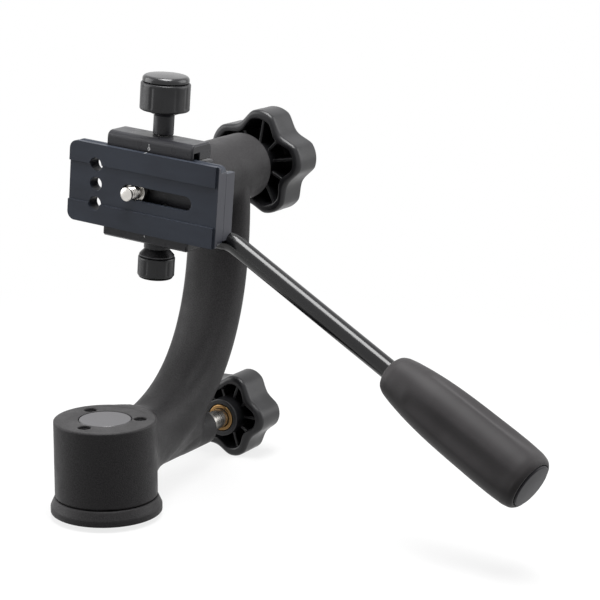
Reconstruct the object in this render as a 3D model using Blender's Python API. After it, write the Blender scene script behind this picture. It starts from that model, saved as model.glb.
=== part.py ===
"""Gimbal tripod head: a cast arm that pans on a flanged base and carries a tilting clamp.

Metres, +Z up. The origin is on the pan axis, at the underside of the base flange.
+X points along the tilt axis, from the clamp towards the large star knob.
The head (clamp, plate and handle) is drawn level about the tilt axis, then hung on an
empty that is turned by TILT_REST, so that it stands as it does in use.
"""
import math

import bmesh
import bpy
from mathutils import Matrix, Vector

# Fits that several pieces share
GAP = 0.0003               # between pieces that touch or seat on each other
RUNNING_GAP = 0.0005       # between the turning barrel and the flange
OVERRUN = 0.0010           # how far a cutter passes the face that it opens
JOIN_OVERLAP = 0.0010      # how far two bodies of one casting run into each other

# Base flange, bushing and its screws
FLANGE_RADIUS = 0.02573
FLANGE_BEVEL = 0.00183     # how far the bevel draws the top in
FLANGE_HEIGHT = 0.0070
FLANGE_RIM = 0.0029        # height of the upright edge, below the bevel
FLANGE_EDGE = 0.0005
BUSHING_RADIUS = 0.0072
BUSHING_BORE = 0.00476     # 3/8 inch tripod thread
FLANGE_SCREWS = 3
FLANGE_SCREW_RADIUS = 0.0015
FLANGE_SCREW_HEAD = 0.0026
FLANGE_SCREW_WEB = 0.0014  # metal between the bushing and a screw's head
FLANGE_SCREW_LENGTH = 0.0110
FLANGE_SCREW_SOCKET = 0.0011

# Spindle: brake drum below, journal and thread above
DRUM_RIM = 0.0028          # from the flange screws' circle to the drum's outside
DRUM_LAND = 0.0013         # drum above the brake pad
SPINDLE_RADIUS = 0.0080
SPINDLE_BORE_DEPTH = 0.0080
THREAD_RADIUS = 0.0050
THREAD_END = 0.0007        # thread past the nut
NUT_RADIUS = 0.0092
NUT_HEIGHT = 0.0040

# Arm casting: barrel
BARREL_RADIUS = 0.02367
BARREL_WALL = 0.0037
BARREL_ROOF = 0.0050
BARREL_EDGE = 0.0009
BARREL_HEADROOM = 0.00408  # from the spindle's end to the disc
DISC_RADIUS = 0.01202
DISC_THICKNESS = 0.0020
DISC_LEDGE = 0.0018
TOP_SCREWS = 3
TOP_SCREW_WEB = 0.00133    # metal between the disc and a screw's head
TOP_SCREW_ANGLE = math.radians(60.0)
TOP_SCREW_HEAD = 0.00275
TOP_SCREW_RADIUS = 0.0015
TOP_SCREW_SOCKET = 0.0015
TOP_SCREW_HEAD_HEIGHT = 0.0022
TOP_SCREW_SINK = 0.0010    # head below the barrel's top
TOP_SCREW_LENGTH = 0.0090

# Pan bearings and their carrier
LOWER_BEARING_HEIGHT = 0.0050
UPPER_BEARING_RING = 0.0037
UPPER_BEARING_HEIGHT = 0.0060
CARRIER_CLEARANCE = 0.00148        # above the drum
CARRIER_SKIRT = 0.00122            # carrier below the upper bearing

# Arm casting: curved arm, in the XZ plane
ARM_ROOT_X = 0.0120        # where the arm starts, inside the barrel
ARM_ROOT_DROP = 0.01738    # its centre below the barrel's top
ARM_ROOT_WIDTH = 0.0172    # half the arm's width, along Y
ARM_ROOT_DEPTH = 0.0150    # half the arm's depth, across the curve
ARM_FOOT_REACH = 0.01153   # from the barrel's side to where the free curve starts
ARM_FOOT_DROP = 0.01648
ARM_FOOT_ANGLE = math.radians(14.4)
ARM_FOOT_PULL = 0.0439
ARM_WIDTH_FOOT = 0.0134
ARM_DEPTH_FOOT = 0.0143
ARM_HEAD_INSET = 0.0146    # centre of the arm behind the housing's front
ARM_HEAD_PULL = 0.0573
ARM_HEAD_DROP = 0.0128     # end of the curve below the tilt axis
ARM_WIDTH_HEAD = 0.0164
ARM_DEPTH_HEAD = 0.0078
ARM_SQUARENESS = 2.6       # 2 is an ellipse, more is squarer
ARM_STEPS = 14
ARM_SIDES = 24

# Arm casting: tilt housing
TILT_AXIS_Z = 0.14282
TILT_REST = math.radians(4.4)
HOUSING_LENGTH = 0.0370
HOUSING_WALL = 0.0041
HOUSING_EDGE = 0.0016
TILT_BEARING_RING = 0.0057
TILT_BEARING_WIDTH = 0.0070
TILT_BEARING_INSET = 0.0008
TILT_SHOULDER = 0.0018

# Pan lock, along +X below the arm
BOSS_RADIUS = 0.0087
BOSS_REACH = 0.05833       # from the barrel's side
BOSS_EDGE = 0.0008
PAD_RADIUS = 0.0040
PAD_LENGTH = 0.0120
PAD_CLEARANCE = 0.0017     # pad above the lower bearing
STUD_RADIUS = 0.0048
PAN_STUD_SHOWN = 0.0167    # bare stud between the boss and the knob's hub
PAN_HUB_REACH = 0.0042     # hub out of the knob's open rim
PAN_HUB_WALL = 0.0024
PAN_INSERT_WALL = 0.0016
PAN_KNOB_DEPTH = 0.0192
PAN_KNOB_TIP = 0.0215
PAN_KNOB_EDGE_DROP = 0.0013        # from the lobes' tips in to their edges
PAN_KNOB_FLUTE_DROP = 0.0040       # from the lobes' tips in to the flutes
PAN_KNOB_PHASE = math.radians(37.0)

# Tilt axle, hub and its lock
AXLE_RADIUS = 0.0060
AXLE_HEAD_RIM = 0.0026
AXLE_HEAD_THICKNESS = 0.0030
AXLE_THREAD_RADIUS = 0.0050
HUB_LENGTH = 0.0266
HUB_RIM = 0.0039           # from the hub screws' circle to the hub's outside
HUB_EDGE = 0.0010
HUB_SCREW_WEB = 0.0010     # metal between the axle's head and a hub screw
HUB_SCREW_RADIUS = 0.0020
HUB_SCREW_HEAD = 0.0034
HUB_SCREW_HEAD_HEIGHT = 0.0036
HUB_SCREW_SOCKET = 0.0016
HUB_SCREW_LENGTH = 0.0200
FRICTION_WASHER_THICKNESS = 0.0010
FRICTION_WASHER_INSET = 0.0015     # inside the hub's edge
THRUST_WASHER_THICKNESS = 0.0020
THRUST_WASHER_RADIUS = 0.0105
TILT_HUB_REACH = 0.0064
TILT_HUB_WALL = 0.0026
TILT_INSERT_WALL = 0.0014
TILT_KNOB_DEPTH = 0.0188
TILT_KNOB_TIP = 0.0267
TILT_KNOB_EDGE_DROP = 0.0015
TILT_KNOB_FLUTE_DROP = 0.0054
TILT_KNOB_PHASE = math.radians(28.3)

# Both star knobs
KNOB_LOBES = 5
LOBE_HALF_ANGLE = math.radians(14.5)
LOBE_STEPS = 3
FLUTE_STEPS = 6
KNOB_WALL = 0.0024
KNOB_FLOOR = 0.0030
KNOB_EDGE = 0.0010
KNOB_BACK_EDGE = 0.0024
KNOB_BACK_SHARE = 0.3      # how far the back edge is rounded instead of cut straight
RIB_THICKNESS = 0.0014
RIB_SINK = 0.0035          # ribs stop short of the open rim
KNOB_CAP_RADIUS = 0.0075
KNOB_CAP_THICKNESS = 0.0016
KNOB_CAP_PROUD = 0.0007
KNOB_CAP_EDGE = 0.0004

# Lens plate
PLATE_FRONT = 0.0322       # from the pan axis to the face that the lens foot sits on
PLATE_THICKNESS = 0.0074
PLATE_WIDTH = 0.0380
PLATE_LENGTH = 0.0817
PLATE_SHIFT = 0.00065      # middle of the plate ahead of the tilt axis
PLATE_CORNER = 0.0040
PLATE_LIP = 0.0026         # thickness of the front flange
PLATE_TAIL = 0.0016        # upright edge of the dovetail
PLATE_TAIL_STEP = 0.0002   # dovetail narrower than the front flange, each side
PLATE_GROOVE = 0.0030      # depth of the groove between flange and dovetail
PLATE_BAND = 0.0097        # width of each raised band of the face
PLATE_RECESS_DEPTH = 0.0010
PLATE_HOLES = 3
PLATE_HOLE_RADIUS = 0.0033
PLATE_HOLE_INSET = 0.0149  # from the plate's forward end
PLATE_HOLE_PITCH = 0.0093
SLOT_INSET = 0.0138        # from the plate's rear end
SLOT_LENGTH = 0.0384
SLOT_CLEARANCE = 0.000225  # round the camera screw
SLOT_Z = -0.0007
CHANNEL_CLEARANCE = 0.0005         # round the screw's washer
CHANNEL_DEPTH = 0.0042
CAMERA_SCREW_RADIUS = 0.003175     # 1/4 inch
CAMERA_SCREW_INSET = 0.0058        # from the slot's forward end
CAMERA_SCREW_REACH = 0.0046
CAMERA_SCREW_EDGE = 0.0006
CAMERA_WASHER_RADIUS = 0.0053
CAMERA_WASHER_THICKNESS = 0.0008
CAMERA_HEAD_RADIUS = 0.0048
CAMERA_HEAD_SLOT = 0.0012
CAMERA_HEAD_SLOT_DEPTH = 0.0010

# Clamp
JAW_LENGTH = 0.0472
JAW_SETBACK = 0.0038       # jaws behind the plate's face
JAW_BACK_WALL = 0.0053     # from the screw's axis to the jaw's back
JAW_HEIGHT = 0.00648       # jaw above the dovetail
JAW_ROUND = 0.0030
JAW_ROUND_STEPS = 4
JAW_EDGE = 0.0007
JAW_RELIEF_WIDTH = 0.0038
JAW_RELIEF_DEPTH = 0.0021
JAW_PARTING = 0.0010       # open gap between the jaw and the body
SCREW_SETBACK = 0.0077     # clamp screw's axis behind the plate
BODY_DROP = 0.0022         # body's top below the plate's edge
BODY_FLOOR = 0.00508       # body below the dovetail
BODY_BACK_WALL = 0.0082    # from the screw's axis to the body's back
BODY_EDGE = 0.0008
BRACKET_LENGTH = 0.0149    # bracket that runs on towards the user
BRACKET_TOP_INSET = 0.0040 # below the plate's upper edge
BRACKET_BOTTOM_INSET = 0.0027
BRACKET_THICKNESS = 0.0070
GUIDE_PIN_INSET = 0.0071   # from each end of the jaw
GUIDE_PIN_RADIUS = 0.0018
GUIDE_PIN_DEPTH = 0.0108   # pin in the body
GUIDE_PIN_COVER = 0.0025   # jaw over the pin
SPRING_POCKET_RADIUS = 0.0038
SPRING_POCKET_DEPTH = 0.0070
SPRING_JAW_POCKET = 0.0030
SPRING_WIRE = 0.0004       # half the wire's thickness
SPRING_RADIUS = 0.0028
SPRING_TURNS = 4
SPRING_TURN_POINTS = 9
SPRING_RESOLUTION = 1

# Upper clamp knob
CLAMP_SCREW_RADIUS = 0.0030
CLAMP_SCREW_DEPTH = 0.0258 # screw in the body
CLAMP_STEM_RADIUS = 0.00485
CLAMP_STEM_HEIGHT = 0.0116 # from the jaw to the grip
CLAMP_COLLAR_RADIUS = 0.0090
CLAMP_COLLAR_HEIGHT = 0.0017
CLAMP_GRIP_HEIGHT = 0.0129
CLAMP_GRIP_RADIUS = 0.0116
CLAMP_GRIP_EDGE = 0.0008
CLAMP_CAP_HEIGHT = 0.0036
CLAMP_RIBS = 12
GRIP_CAP_STEP = 0.0007     # a cap inside its grip's outline
GRIP_RIB_DEPTH = 0.0003
GRIP_RIB_POINTS = 3
DOME_SHARES = ((1.0, 0.35), (0.93, 0.75), (0.80, 0.94), (0.45, 1.0))   # of the cap's radius and height

# Handle lock knob, below
LOCK_BOSS_RADIUS = 0.0064
LOCK_BOSS_HEIGHT = 0.0038
LOCK_COLLAR_HEIGHT = 0.0041
LOCK_COLLAR_NECK = 0.0056
LOCK_COLLAR_STEP = 0.0004  # collar inside the grip's outline
LOCK_GRIP_HEIGHT = 0.0093
LOCK_GRIP_RADIUS = 0.0087
LOCK_GRIP_EDGE = 0.0006
LOCK_CAP_HEIGHT = 0.0013
LOCK_RIBS = 10
LOCK_SCREW_RADIUS = 0.0025
SHOE_RADIUS = 0.0028
SHOE_THICKNESS = 0.0019

# Handle
ROD_RADIUS = 0.0046
ROD_HEIGHT = 0.0062        # bore above the body's underside
ROD_INNER_END = 0.0085     # rod past the lock screw
ROD_BEND_STAND = 0.0002    # start of the bend past the bracket
ROD_BEND_RADIUS = 0.0120
ROD_BEND = math.radians(23.7)
ROD_ROLL = math.radians(18.4)
ROD_BEND_STEPS = 6
ROD_RESOLUTION = 4
ROD_STRAIGHT = 0.0983      # from the bend to the grip
GRIP_LENGTH = 0.0816
GRIP_RADIUS = 0.0142
GRIP_CAP_THICKNESS = 0.0012
GRIP_CAP_SINK = 0.0022
GRIP_SHARES = ((0.0, 0.46), (0.012, 0.57), (0.035, 0.66), (0.075, 0.73), (0.14, 0.80), (0.24, 0.88),
               (0.36, 0.94), (0.50, 0.975), (0.64, 0.99), (0.78, 1.0), (0.90, 0.985), (0.96, 0.95),
               (0.99, 0.88), (1.0, 0.82))      # along the grip, and of its radius
GRIP_FLUTES = 4
GRIP_FLUTE_DEPTH = 0.0010
GRIP_FLUTE_SPAN_SHARES = (0.24, 0.97)
GRIP_SIDES = 24

# Roundness
SHARP_ANGLE = math.radians(50.0)   # edges that soften() bevels
SMOOTH_ANGLE = math.radians(35.0)
ROUND_SIDES = 36
BORE_SIDES = 20
SMALL_SIDES = 16
SCREW_SIDES = 12
HEX_SIDES = 6
SLOT_END_STEPS = 10
PLATE_CORNER_STEPS = 6

# Radii worked out from the sizes above
FLANGE_SCREW_CIRCLE = BUSHING_RADIUS + FLANGE_SCREW_WEB + FLANGE_SCREW_HEAD
DRUM_RADIUS = FLANGE_SCREW_CIRCLE + DRUM_RIM
BARREL_BORE = BARREL_RADIUS - BARREL_WALL
UPPER_BEARING_RADIUS = SPINDLE_RADIUS + GAP + UPPER_BEARING_RING
TOP_SCREW_CIRCLE = DISC_RADIUS + TOP_SCREW_WEB + TOP_SCREW_HEAD
AXLE_HEAD_RADIUS = AXLE_RADIUS + AXLE_HEAD_RIM
HUB_SCREW_CIRCLE = AXLE_HEAD_RADIUS + HUB_SCREW_WEB + HUB_SCREW_RADIUS
HUB_RADIUS = HUB_SCREW_CIRCLE + HUB_RIM
TILT_BEARING_RADIUS = AXLE_RADIUS + GAP + TILT_BEARING_RING
HOUSING_RADIUS = TILT_BEARING_RADIUS + GAP + HOUSING_WALL
PAN_INSERT_RADIUS = STUD_RADIUS + GAP + PAN_INSERT_WALL
PAN_HUB_RADIUS = PAN_INSERT_RADIUS + GAP + PAN_HUB_WALL
TILT_INSERT_RADIUS = AXLE_THREAD_RADIUS + GAP + TILT_INSERT_WALL
TILT_HUB_RADIUS = TILT_INSERT_RADIUS + GAP + TILT_HUB_WALL
SLOT_HALF_WIDTH = CAMERA_SCREW_RADIUS + SLOT_CLEARANCE
CHANNEL_HALF_WIDTH = CAMERA_WASHER_RADIUS + CHANNEL_CLEARANCE

# Heights up the pan axis
BARREL_BOTTOM = FLANGE_HEIGHT + RUNNING_GAP
LOWER_BEARING_TOP = BARREL_BOTTOM + GAP + LOWER_BEARING_HEIGHT
PAN_LOCK_Z = LOWER_BEARING_TOP + PAD_CLEARANCE + PAD_RADIUS
DRUM_TOP = PAN_LOCK_Z + PAD_RADIUS + DRUM_LAND
CARRIER_BOTTOM = DRUM_TOP + CARRIER_CLEARANCE
SPINDLE_TOP = CARRIER_BOTTOM + CARRIER_SKIRT + UPPER_BEARING_HEIGHT
NUT_TOP = SPINDLE_TOP + GAP + NUT_HEIGHT
THREAD_TOP = NUT_TOP + THREAD_END
BARREL_TOP = THREAD_TOP + BARREL_HEADROOM + DISC_THICKNESS
BARREL_CEILING = BARREL_TOP - BARREL_ROOF

# Places along the tilt axis, from the plate's face to the large knob
PLATE_BACK = PLATE_FRONT + PLATE_THICKNESS
SEAT_X = PLATE_BACK + GAP
SCREW_AXIS_X = PLATE_BACK + SCREW_SETBACK
JAW_FRONT = PLATE_FRONT + JAW_SETBACK
JAW_BACK = SCREW_AXIS_X + JAW_BACK_WALL
BODY_BACK = SCREW_AXIS_X + BODY_BACK_WALL
HUB_FRONT = BODY_BACK + GAP
HUB_REAR = HUB_FRONT + HUB_LENGTH
HOUSING_FRONT = HUB_REAR + GAP + FRICTION_WASHER_THICKNESS + GAP
HOUSING_REAR = HOUSING_FRONT + HOUSING_LENGTH
THRUST_WASHER_REAR = HOUSING_REAR + GAP + THRUST_WASHER_THICKNESS
TILT_KNOB_NEAR = THRUST_WASHER_REAR + GAP + GAP + TILT_HUB_REACH
ARM_HEAD_X = HOUSING_FRONT + ARM_HEAD_INSET

# Places along the pan lock
PAD_START = DRUM_RADIUS + GAP
PAD_END = PAD_START + PAD_LENGTH
BOSS_END = BARREL_RADIUS + BOSS_REACH
PAN_HUB_FACE = BOSS_END + PAN_STUD_SHOWN
PAN_KNOB_NEAR = PAN_HUB_FACE + PAN_HUB_REACH

# Heights in the head, from the tilt axis
PLATE_HALF = PLATE_WIDTH / 2
TAIL_HALF = PLATE_HALF - PLATE_TAIL_STEP
SEAT_Z = TAIL_HALF + GAP * math.sqrt(2)
JAW_TOP = SEAT_Z + JAW_HEIGHT
BODY_TOP = PLATE_HALF - BODY_DROP
BODY_BOTTOM = -SEAT_Z - BODY_FLOOR
JAW_BOTTOM = BODY_TOP + JAW_PARTING
POCKET_BOTTOM = BODY_TOP - SPRING_POCKET_DEPTH
POCKET_TOP = JAW_BOTTOM + SPRING_JAW_POCKET
GUIDE_PIN_BOTTOM = BODY_TOP - GUIDE_PIN_DEPTH
GUIDE_PIN_TOP = JAW_TOP - GUIDE_PIN_COVER
BRACKET_TOP = PLATE_HALF - BRACKET_TOP_INSET
BRACKET_BOTTOM = BRACKET_BOTTOM_INSET - PLATE_HALF
ROD_Z = BODY_BOTTOM + ROD_HEIGHT
CLAMP_SCREW_BOTTOM = BODY_TOP - CLAMP_SCREW_DEPTH
CLAMP_GRIP_BOTTOM = JAW_TOP + CLAMP_STEM_HEIGHT
CLAMP_GRIP_TOP = CLAMP_GRIP_BOTTOM + CLAMP_GRIP_HEIGHT
CLAMP_CAP_TOP = CLAMP_GRIP_TOP + CLAMP_CAP_HEIGHT
LOCK_BOSS_BOTTOM = BODY_BOTTOM - LOCK_BOSS_HEIGHT
LOCK_GRIP_TOP = LOCK_BOSS_BOTTOM - LOCK_COLLAR_HEIGHT
LOCK_GRIP_BOTTOM = LOCK_GRIP_TOP - LOCK_GRIP_HEIGHT
LOCK_CAP_BOTTOM = LOCK_GRIP_BOTTOM - LOCK_CAP_HEIGHT
SHOE_TOP = ROD_Z - ROD_RADIUS - GAP
SHOE_BOTTOM = SHOE_TOP - SHOE_THICKNESS

# Places along the plate and the handle, +Y away from the user
PLATE_LEFT = PLATE_SHIFT + PLATE_LENGTH / 2
PLATE_RIGHT = PLATE_SHIFT - PLATE_LENGTH / 2
PLATE_HOLE_Y = PLATE_LEFT - PLATE_HOLE_INSET
SLOT_RIGHT = PLATE_RIGHT + SLOT_INSET
SLOT_LEFT = SLOT_RIGHT + SLOT_LENGTH
CAMERA_SCREW_Y = SLOT_LEFT - CAMERA_SCREW_INSET
JAW_HALF = JAW_LENGTH / 2
GUIDE_PIN_Y = JAW_HALF - GUIDE_PIN_INSET
BRACKET_END = -JAW_HALF - BRACKET_LENGTH
ROD_BEND_Y = BRACKET_END - ROD_BEND_STAND


def clear_scene():
    for thing in list(bpy.data.objects):
        bpy.data.objects.remove(thing, do_unlink=True)


def material(name, colour, roughness, metallic):
    """A plain Principled material; colour is linear RGB."""
    made = bpy.data.materials.new(name)
    made.use_nodes = True
    shader = made.node_tree.nodes["Principled BSDF"]
    shader.inputs["Base Color"].default_value = (*colour, 1.0)
    shader.inputs["Roughness"].default_value = roughness
    shader.inputs["Metallic"].default_value = metallic
    return made


def empty(name, location, rotation=(0.0, 0.0, 0.0), parent=None):
    made = bpy.data.objects.new(name, None)
    bpy.context.scene.collection.objects.link(made)
    made.location = location
    made.rotation_euler = rotation
    made.parent = parent
    return made


def add_object(name, data, finish, parent, location, rotation):
    made = bpy.data.objects.new(name, data)
    bpy.context.scene.collection.objects.link(made)
    if finish is not None:
        data.materials.append(finish)
    made.parent = parent
    made.location = location
    made.rotation_euler = rotation
    return made


def from_bmesh(name, shape, finish=None, parent=None, location=(0.0, 0.0, 0.0), rotation=(0.0, 0.0, 0.0)):
    """Close the bmesh into an object, normals out, flat faces kept crisp."""
    bmesh.ops.recalc_face_normals(shape, faces=shape.faces)
    mesh = bpy.data.meshes.new(name)
    shape.to_mesh(mesh)
    shape.free()
    mesh.shade_smooth()
    mesh.set_sharp_from_angle(angle=SMOOTH_ANGLE)
    return add_object(name, mesh, finish, parent, location, rotation)


def turned(profile, sides):
    """Spin a profile of (radius, height) points about +Z; it is closed into a ring or ends on the axis."""
    shape = bmesh.new()
    points = [shape.verts.new((radius, 0.0, height)) for radius, height in profile]
    edges = [shape.edges.new(pair) for pair in zip(points, points[1:] + points[:1])
             if pair[0].co.x > 0.0 or pair[1].co.x > 0.0]
    bmesh.ops.spin(shape, geom=points + edges, axis=(0.0, 0.0, 1.0), cent=(0.0, 0.0, 0.0),
                   angle=2 * math.pi, steps=sides, use_merge=True)
    bmesh.ops.remove_doubles(shape, verts=shape.verts, dist=GAP / 1000)
    return shape


def tube_profile(outer, inner, low, high, edge=0.0):
    """A washer or sleeve between two heights, its outer edges chamfered."""
    if edge == 0.0:
        return [(inner, low), (outer, low), (outer, high), (inner, high)]
    return [(inner, low), (outer - edge, low), (outer, low + edge),
            (outer, high - edge), (outer - edge, high), (inner, high)]


def rod_profile(radius, low, high, edge=0.0):
    """A solid round bar between two heights."""
    if edge == 0.0:
        return [(0.0, low), (radius, low), (radius, high), (0.0, high)]
    return [(0.0, low), (radius - edge, low), (radius, low + edge),
            (radius, high - edge), (radius - edge, high), (0.0, high)]


def prism(outline, low, high):
    """Extrude a flat outline of (x, y) points from one height to the other."""
    shape = bmesh.new()
    face = shape.faces.new([shape.verts.new((x, y, low)) for x, y in outline])
    raised = bmesh.ops.extrude_face_region(shape, geom=[face])
    moved = [item for item in raised["geom"] if isinstance(item, bmesh.types.BMVert)]
    bmesh.ops.translate(shape, verts=moved, vec=(0.0, 0.0, high - low))
    return shape


def loft(rings):
    """Bridge rings of equal counts and close both ends."""
    shape = bmesh.new()
    loops = [[shape.verts.new(point) for point in ring] for ring in rings]
    count = len(loops[0])
    for low, high in zip(loops, loops[1:]):
        for i in range(count):
            j = (i + 1) % count
            shape.faces.new((low[i], low[j], high[j], high[i]))
    shape.faces.new(loops[0][::-1])
    shape.faces.new(loops[-1])
    return shape


def box(low, high):
    """A block between two corners."""
    outline = ((low[0], low[1]), (high[0], low[1]), (high[0], high[1]), (low[0], high[1]))
    return prism(outline, low[2], high[2])


def on_circle(count, radius, start=0.0):
    """Points spread evenly round the origin."""
    turn = 2 * math.pi / count
    return [(radius * math.cos(start + i * turn), radius * math.sin(start + i * turn)) for i in range(count)]


def hexagon(radius, low, high):
    return prism(on_circle(HEX_SIDES, radius), low, high)


def round_corner(centre, radius, start, end, steps):
    """Points on an arc, both ends included."""
    return [(centre[0] + radius * math.cos(start + (end - start) * i / steps),
             centre[1] + radius * math.sin(start + (end - start) * i / steps)) for i in range(steps + 1)]


def stadium(low, high, half_width, middle):
    """A slot outline along its first coordinate, with round ends."""
    quarter = math.pi / 2
    right = round_corner((high - half_width, middle), half_width, -quarter, quarter, SLOT_END_STEPS)
    left = round_corner((low + half_width, middle), half_width, quarter, 3 * quarter, SLOT_END_STEPS)
    return right + left


def laid(shape):
    """Turn a shape made along +Z to lie along +X, by swapping coordinates so that flat faces stay flat."""
    for vert in shape.verts:
        vert.co = (vert.co.z, vert.co.y, -vert.co.x)
    return shape


def cutter(name, shape, parent=None, location=(0.0, 0.0, 0.0), rotation=(0.0, 0.0, 0.0)):
    made = from_bmesh("cut_" + name, shape, None, parent, location, rotation)
    made.hide_render = True
    made.display_type = "WIRE"
    return made


def combine(target, tool, operation):
    step = target.modifiers.new(tool.name, "BOOLEAN")
    step.operation = operation
    step.solver = "EXACT"
    step.object = tool
    weld = target.modifiers.new("weld", "WELD")
    weld.merge_threshold = GAP / 100
    return target


def cut(target, tool):
    return combine(target, tool, "DIFFERENCE")


def join(target, tool):
    return combine(target, tool, "UNION")


def soften(target, width, segments=1):
    """Bevel a piece's sharp outer edges, and leave its inner corners square."""
    shape = bmesh.new()
    shape.from_mesh(target.data)
    weight = shape.edges.layers.float.new("bevel_weight_edge")
    for edge in shape.edges:
        edge[weight] = float(edge.calc_face_angle_signed() > SHARP_ANGLE)
    shape.to_mesh(target.data)
    shape.free()
    step = target.modifiers.new("edges", "BEVEL")
    step.width = width
    step.segments = segments
    step.limit_method = "WEIGHT"
    return target


def make_finishes():
    return {
        "cast": material("black powder coat on cast aluminium", (0.045, 0.043, 0.046), 0.55, 0.1),
        "machined": material("black anodised aluminium, machined", (0.06, 0.06, 0.065), 0.42, 0.7),
        "plate": material("blue-black anodised aluminium", (0.045, 0.052, 0.07), 0.38, 0.6),
        "steel": material("bright steel", (0.55, 0.55, 0.56), 0.25, 1.0),
        "black_steel": material("blackened steel", (0.03, 0.03, 0.03), 0.35, 0.9),
        "rod": material("gloss black lacquered steel", (0.012, 0.012, 0.014), 0.12, 0.3),
        "brass": material("brass", (0.55, 0.33, 0.10), 0.3, 1.0),
        "plastic": material("black moulded plastic", (0.03, 0.03, 0.032), 0.38, 0.0),
        "rubber": material("dark grey rubber", (0.055, 0.052, 0.053), 0.6, 0.0),
        "nylon": material("black nylon", (0.03, 0.03, 0.03), 0.5, 0.0),
    }


# Base

def flange_screw_profile():
    """A countersunk screw that points up, its flat head in the flange's underside."""
    taper = FLANGE_SCREW_HEAD - FLANGE_SCREW_RADIUS
    return [(0.0, GAP), (FLANGE_SCREW_HEAD, GAP), (FLANGE_SCREW_RADIUS, GAP + taper),
            (FLANGE_SCREW_RADIUS, FLANGE_SCREW_LENGTH), (0.0, FLANGE_SCREW_LENGTH)]


def flange_hole_profile():
    """The screw's own profile, wider by the gap and open below."""
    mouth = FLANGE_SCREW_HEAD + GAP
    wider = [(radius + GAP if radius > 0.0 else radius, height) for radius, height in flange_screw_profile()]
    top = FLANGE_SCREW_LENGTH + GAP
    return [(0.0, -OVERRUN), (mouth, -OVERRUN)] + wider[1:3] + [(wider[3][0], top), (0.0, top)]


def build_base(finish):
    """The flange with its tripod bushing."""
    top_radius = FLANGE_RADIUS - FLANGE_BEVEL
    profile = [(BUSHING_RADIUS + GAP, 0.0), (FLANGE_RADIUS - FLANGE_EDGE, 0.0), (FLANGE_RADIUS, FLANGE_EDGE),
               (FLANGE_RADIUS, FLANGE_RIM), (top_radius, FLANGE_HEIGHT - FLANGE_EDGE),
               (top_radius - FLANGE_EDGE, FLANGE_HEIGHT), (BUSHING_RADIUS + GAP, FLANGE_HEIGHT)]
    flange = from_bmesh("base_flange", turned(profile, ROUND_SIDES), finish["cast"])
    bushing = tube_profile(BUSHING_RADIUS, BUSHING_BORE, GAP, FLANGE_HEIGHT)
    from_bmesh("tripod_bushing", turned(bushing, ROUND_SIDES), finish["steel"])
    return flange


def build_spindle(finish):
    """The fixed post that the arm turns on, and the nut on its thread."""
    foot = FLANGE_HEIGHT + GAP
    bore = BUSHING_BORE + GAP
    profile = [(bore, foot), (DRUM_RADIUS, foot), (DRUM_RADIUS, DRUM_TOP), (SPINDLE_RADIUS, DRUM_TOP),
               (SPINDLE_RADIUS, SPINDLE_TOP), (THREAD_RADIUS, SPINDLE_TOP), (THREAD_RADIUS, THREAD_TOP),
               (0.0, THREAD_TOP), (0.0, foot + SPINDLE_BORE_DEPTH), (bore, foot + SPINDLE_BORE_DEPTH)]
    spindle = from_bmesh("pan_spindle", turned(profile, ROUND_SIDES), finish["steel"])
    nut_low = SPINDLE_TOP + GAP
    nut = from_bmesh("spindle_nut", hexagon(NUT_RADIUS, nut_low, NUT_TOP), finish["steel"])
    thread = rod_profile(THREAD_RADIUS + GAP, nut_low - OVERRUN, NUT_TOP + OVERRUN)
    cut(nut, cutter("nut_thread", turned(thread, SMALL_SIDES)))
    return spindle


def build_flange_screws(finish, flange, spindle):
    for number, (x, y) in enumerate(on_circle(FLANGE_SCREWS, FLANGE_SCREW_CIRCLE), 1):
        place = (x, y, 0.0)
        screw_shape = turned(flange_screw_profile(), SCREW_SIDES)
        screw = from_bmesh(f"flange_screw_{number}", screw_shape, finish["black_steel"], None, place)
        socket = hexagon(FLANGE_SCREW_SOCKET, -OVERRUN, GAP + FLANGE_SCREW_SOCKET)
        cut(screw, cutter(f"flange_socket_{number}", socket, None, place))
        tool = cutter(f"flange_hole_{number}", turned(flange_hole_profile(), SCREW_SIDES), None, place)
        cut(flange, tool)
        cut(spindle, tool)


# Arm casting

def superellipse(depth, width, sides):
    """Offsets across the curve and along Y."""
    power = 2 / ARM_SQUARENESS
    points = []
    for i in range(sides):
        angle = 2 * math.pi * (i + 0.5) / sides
        across, along = math.cos(angle), math.sin(angle)
        points.append((depth * math.copysign(abs(across) ** power, across),
                       width * math.copysign(abs(along) ** power, along)))
    return points


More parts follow.
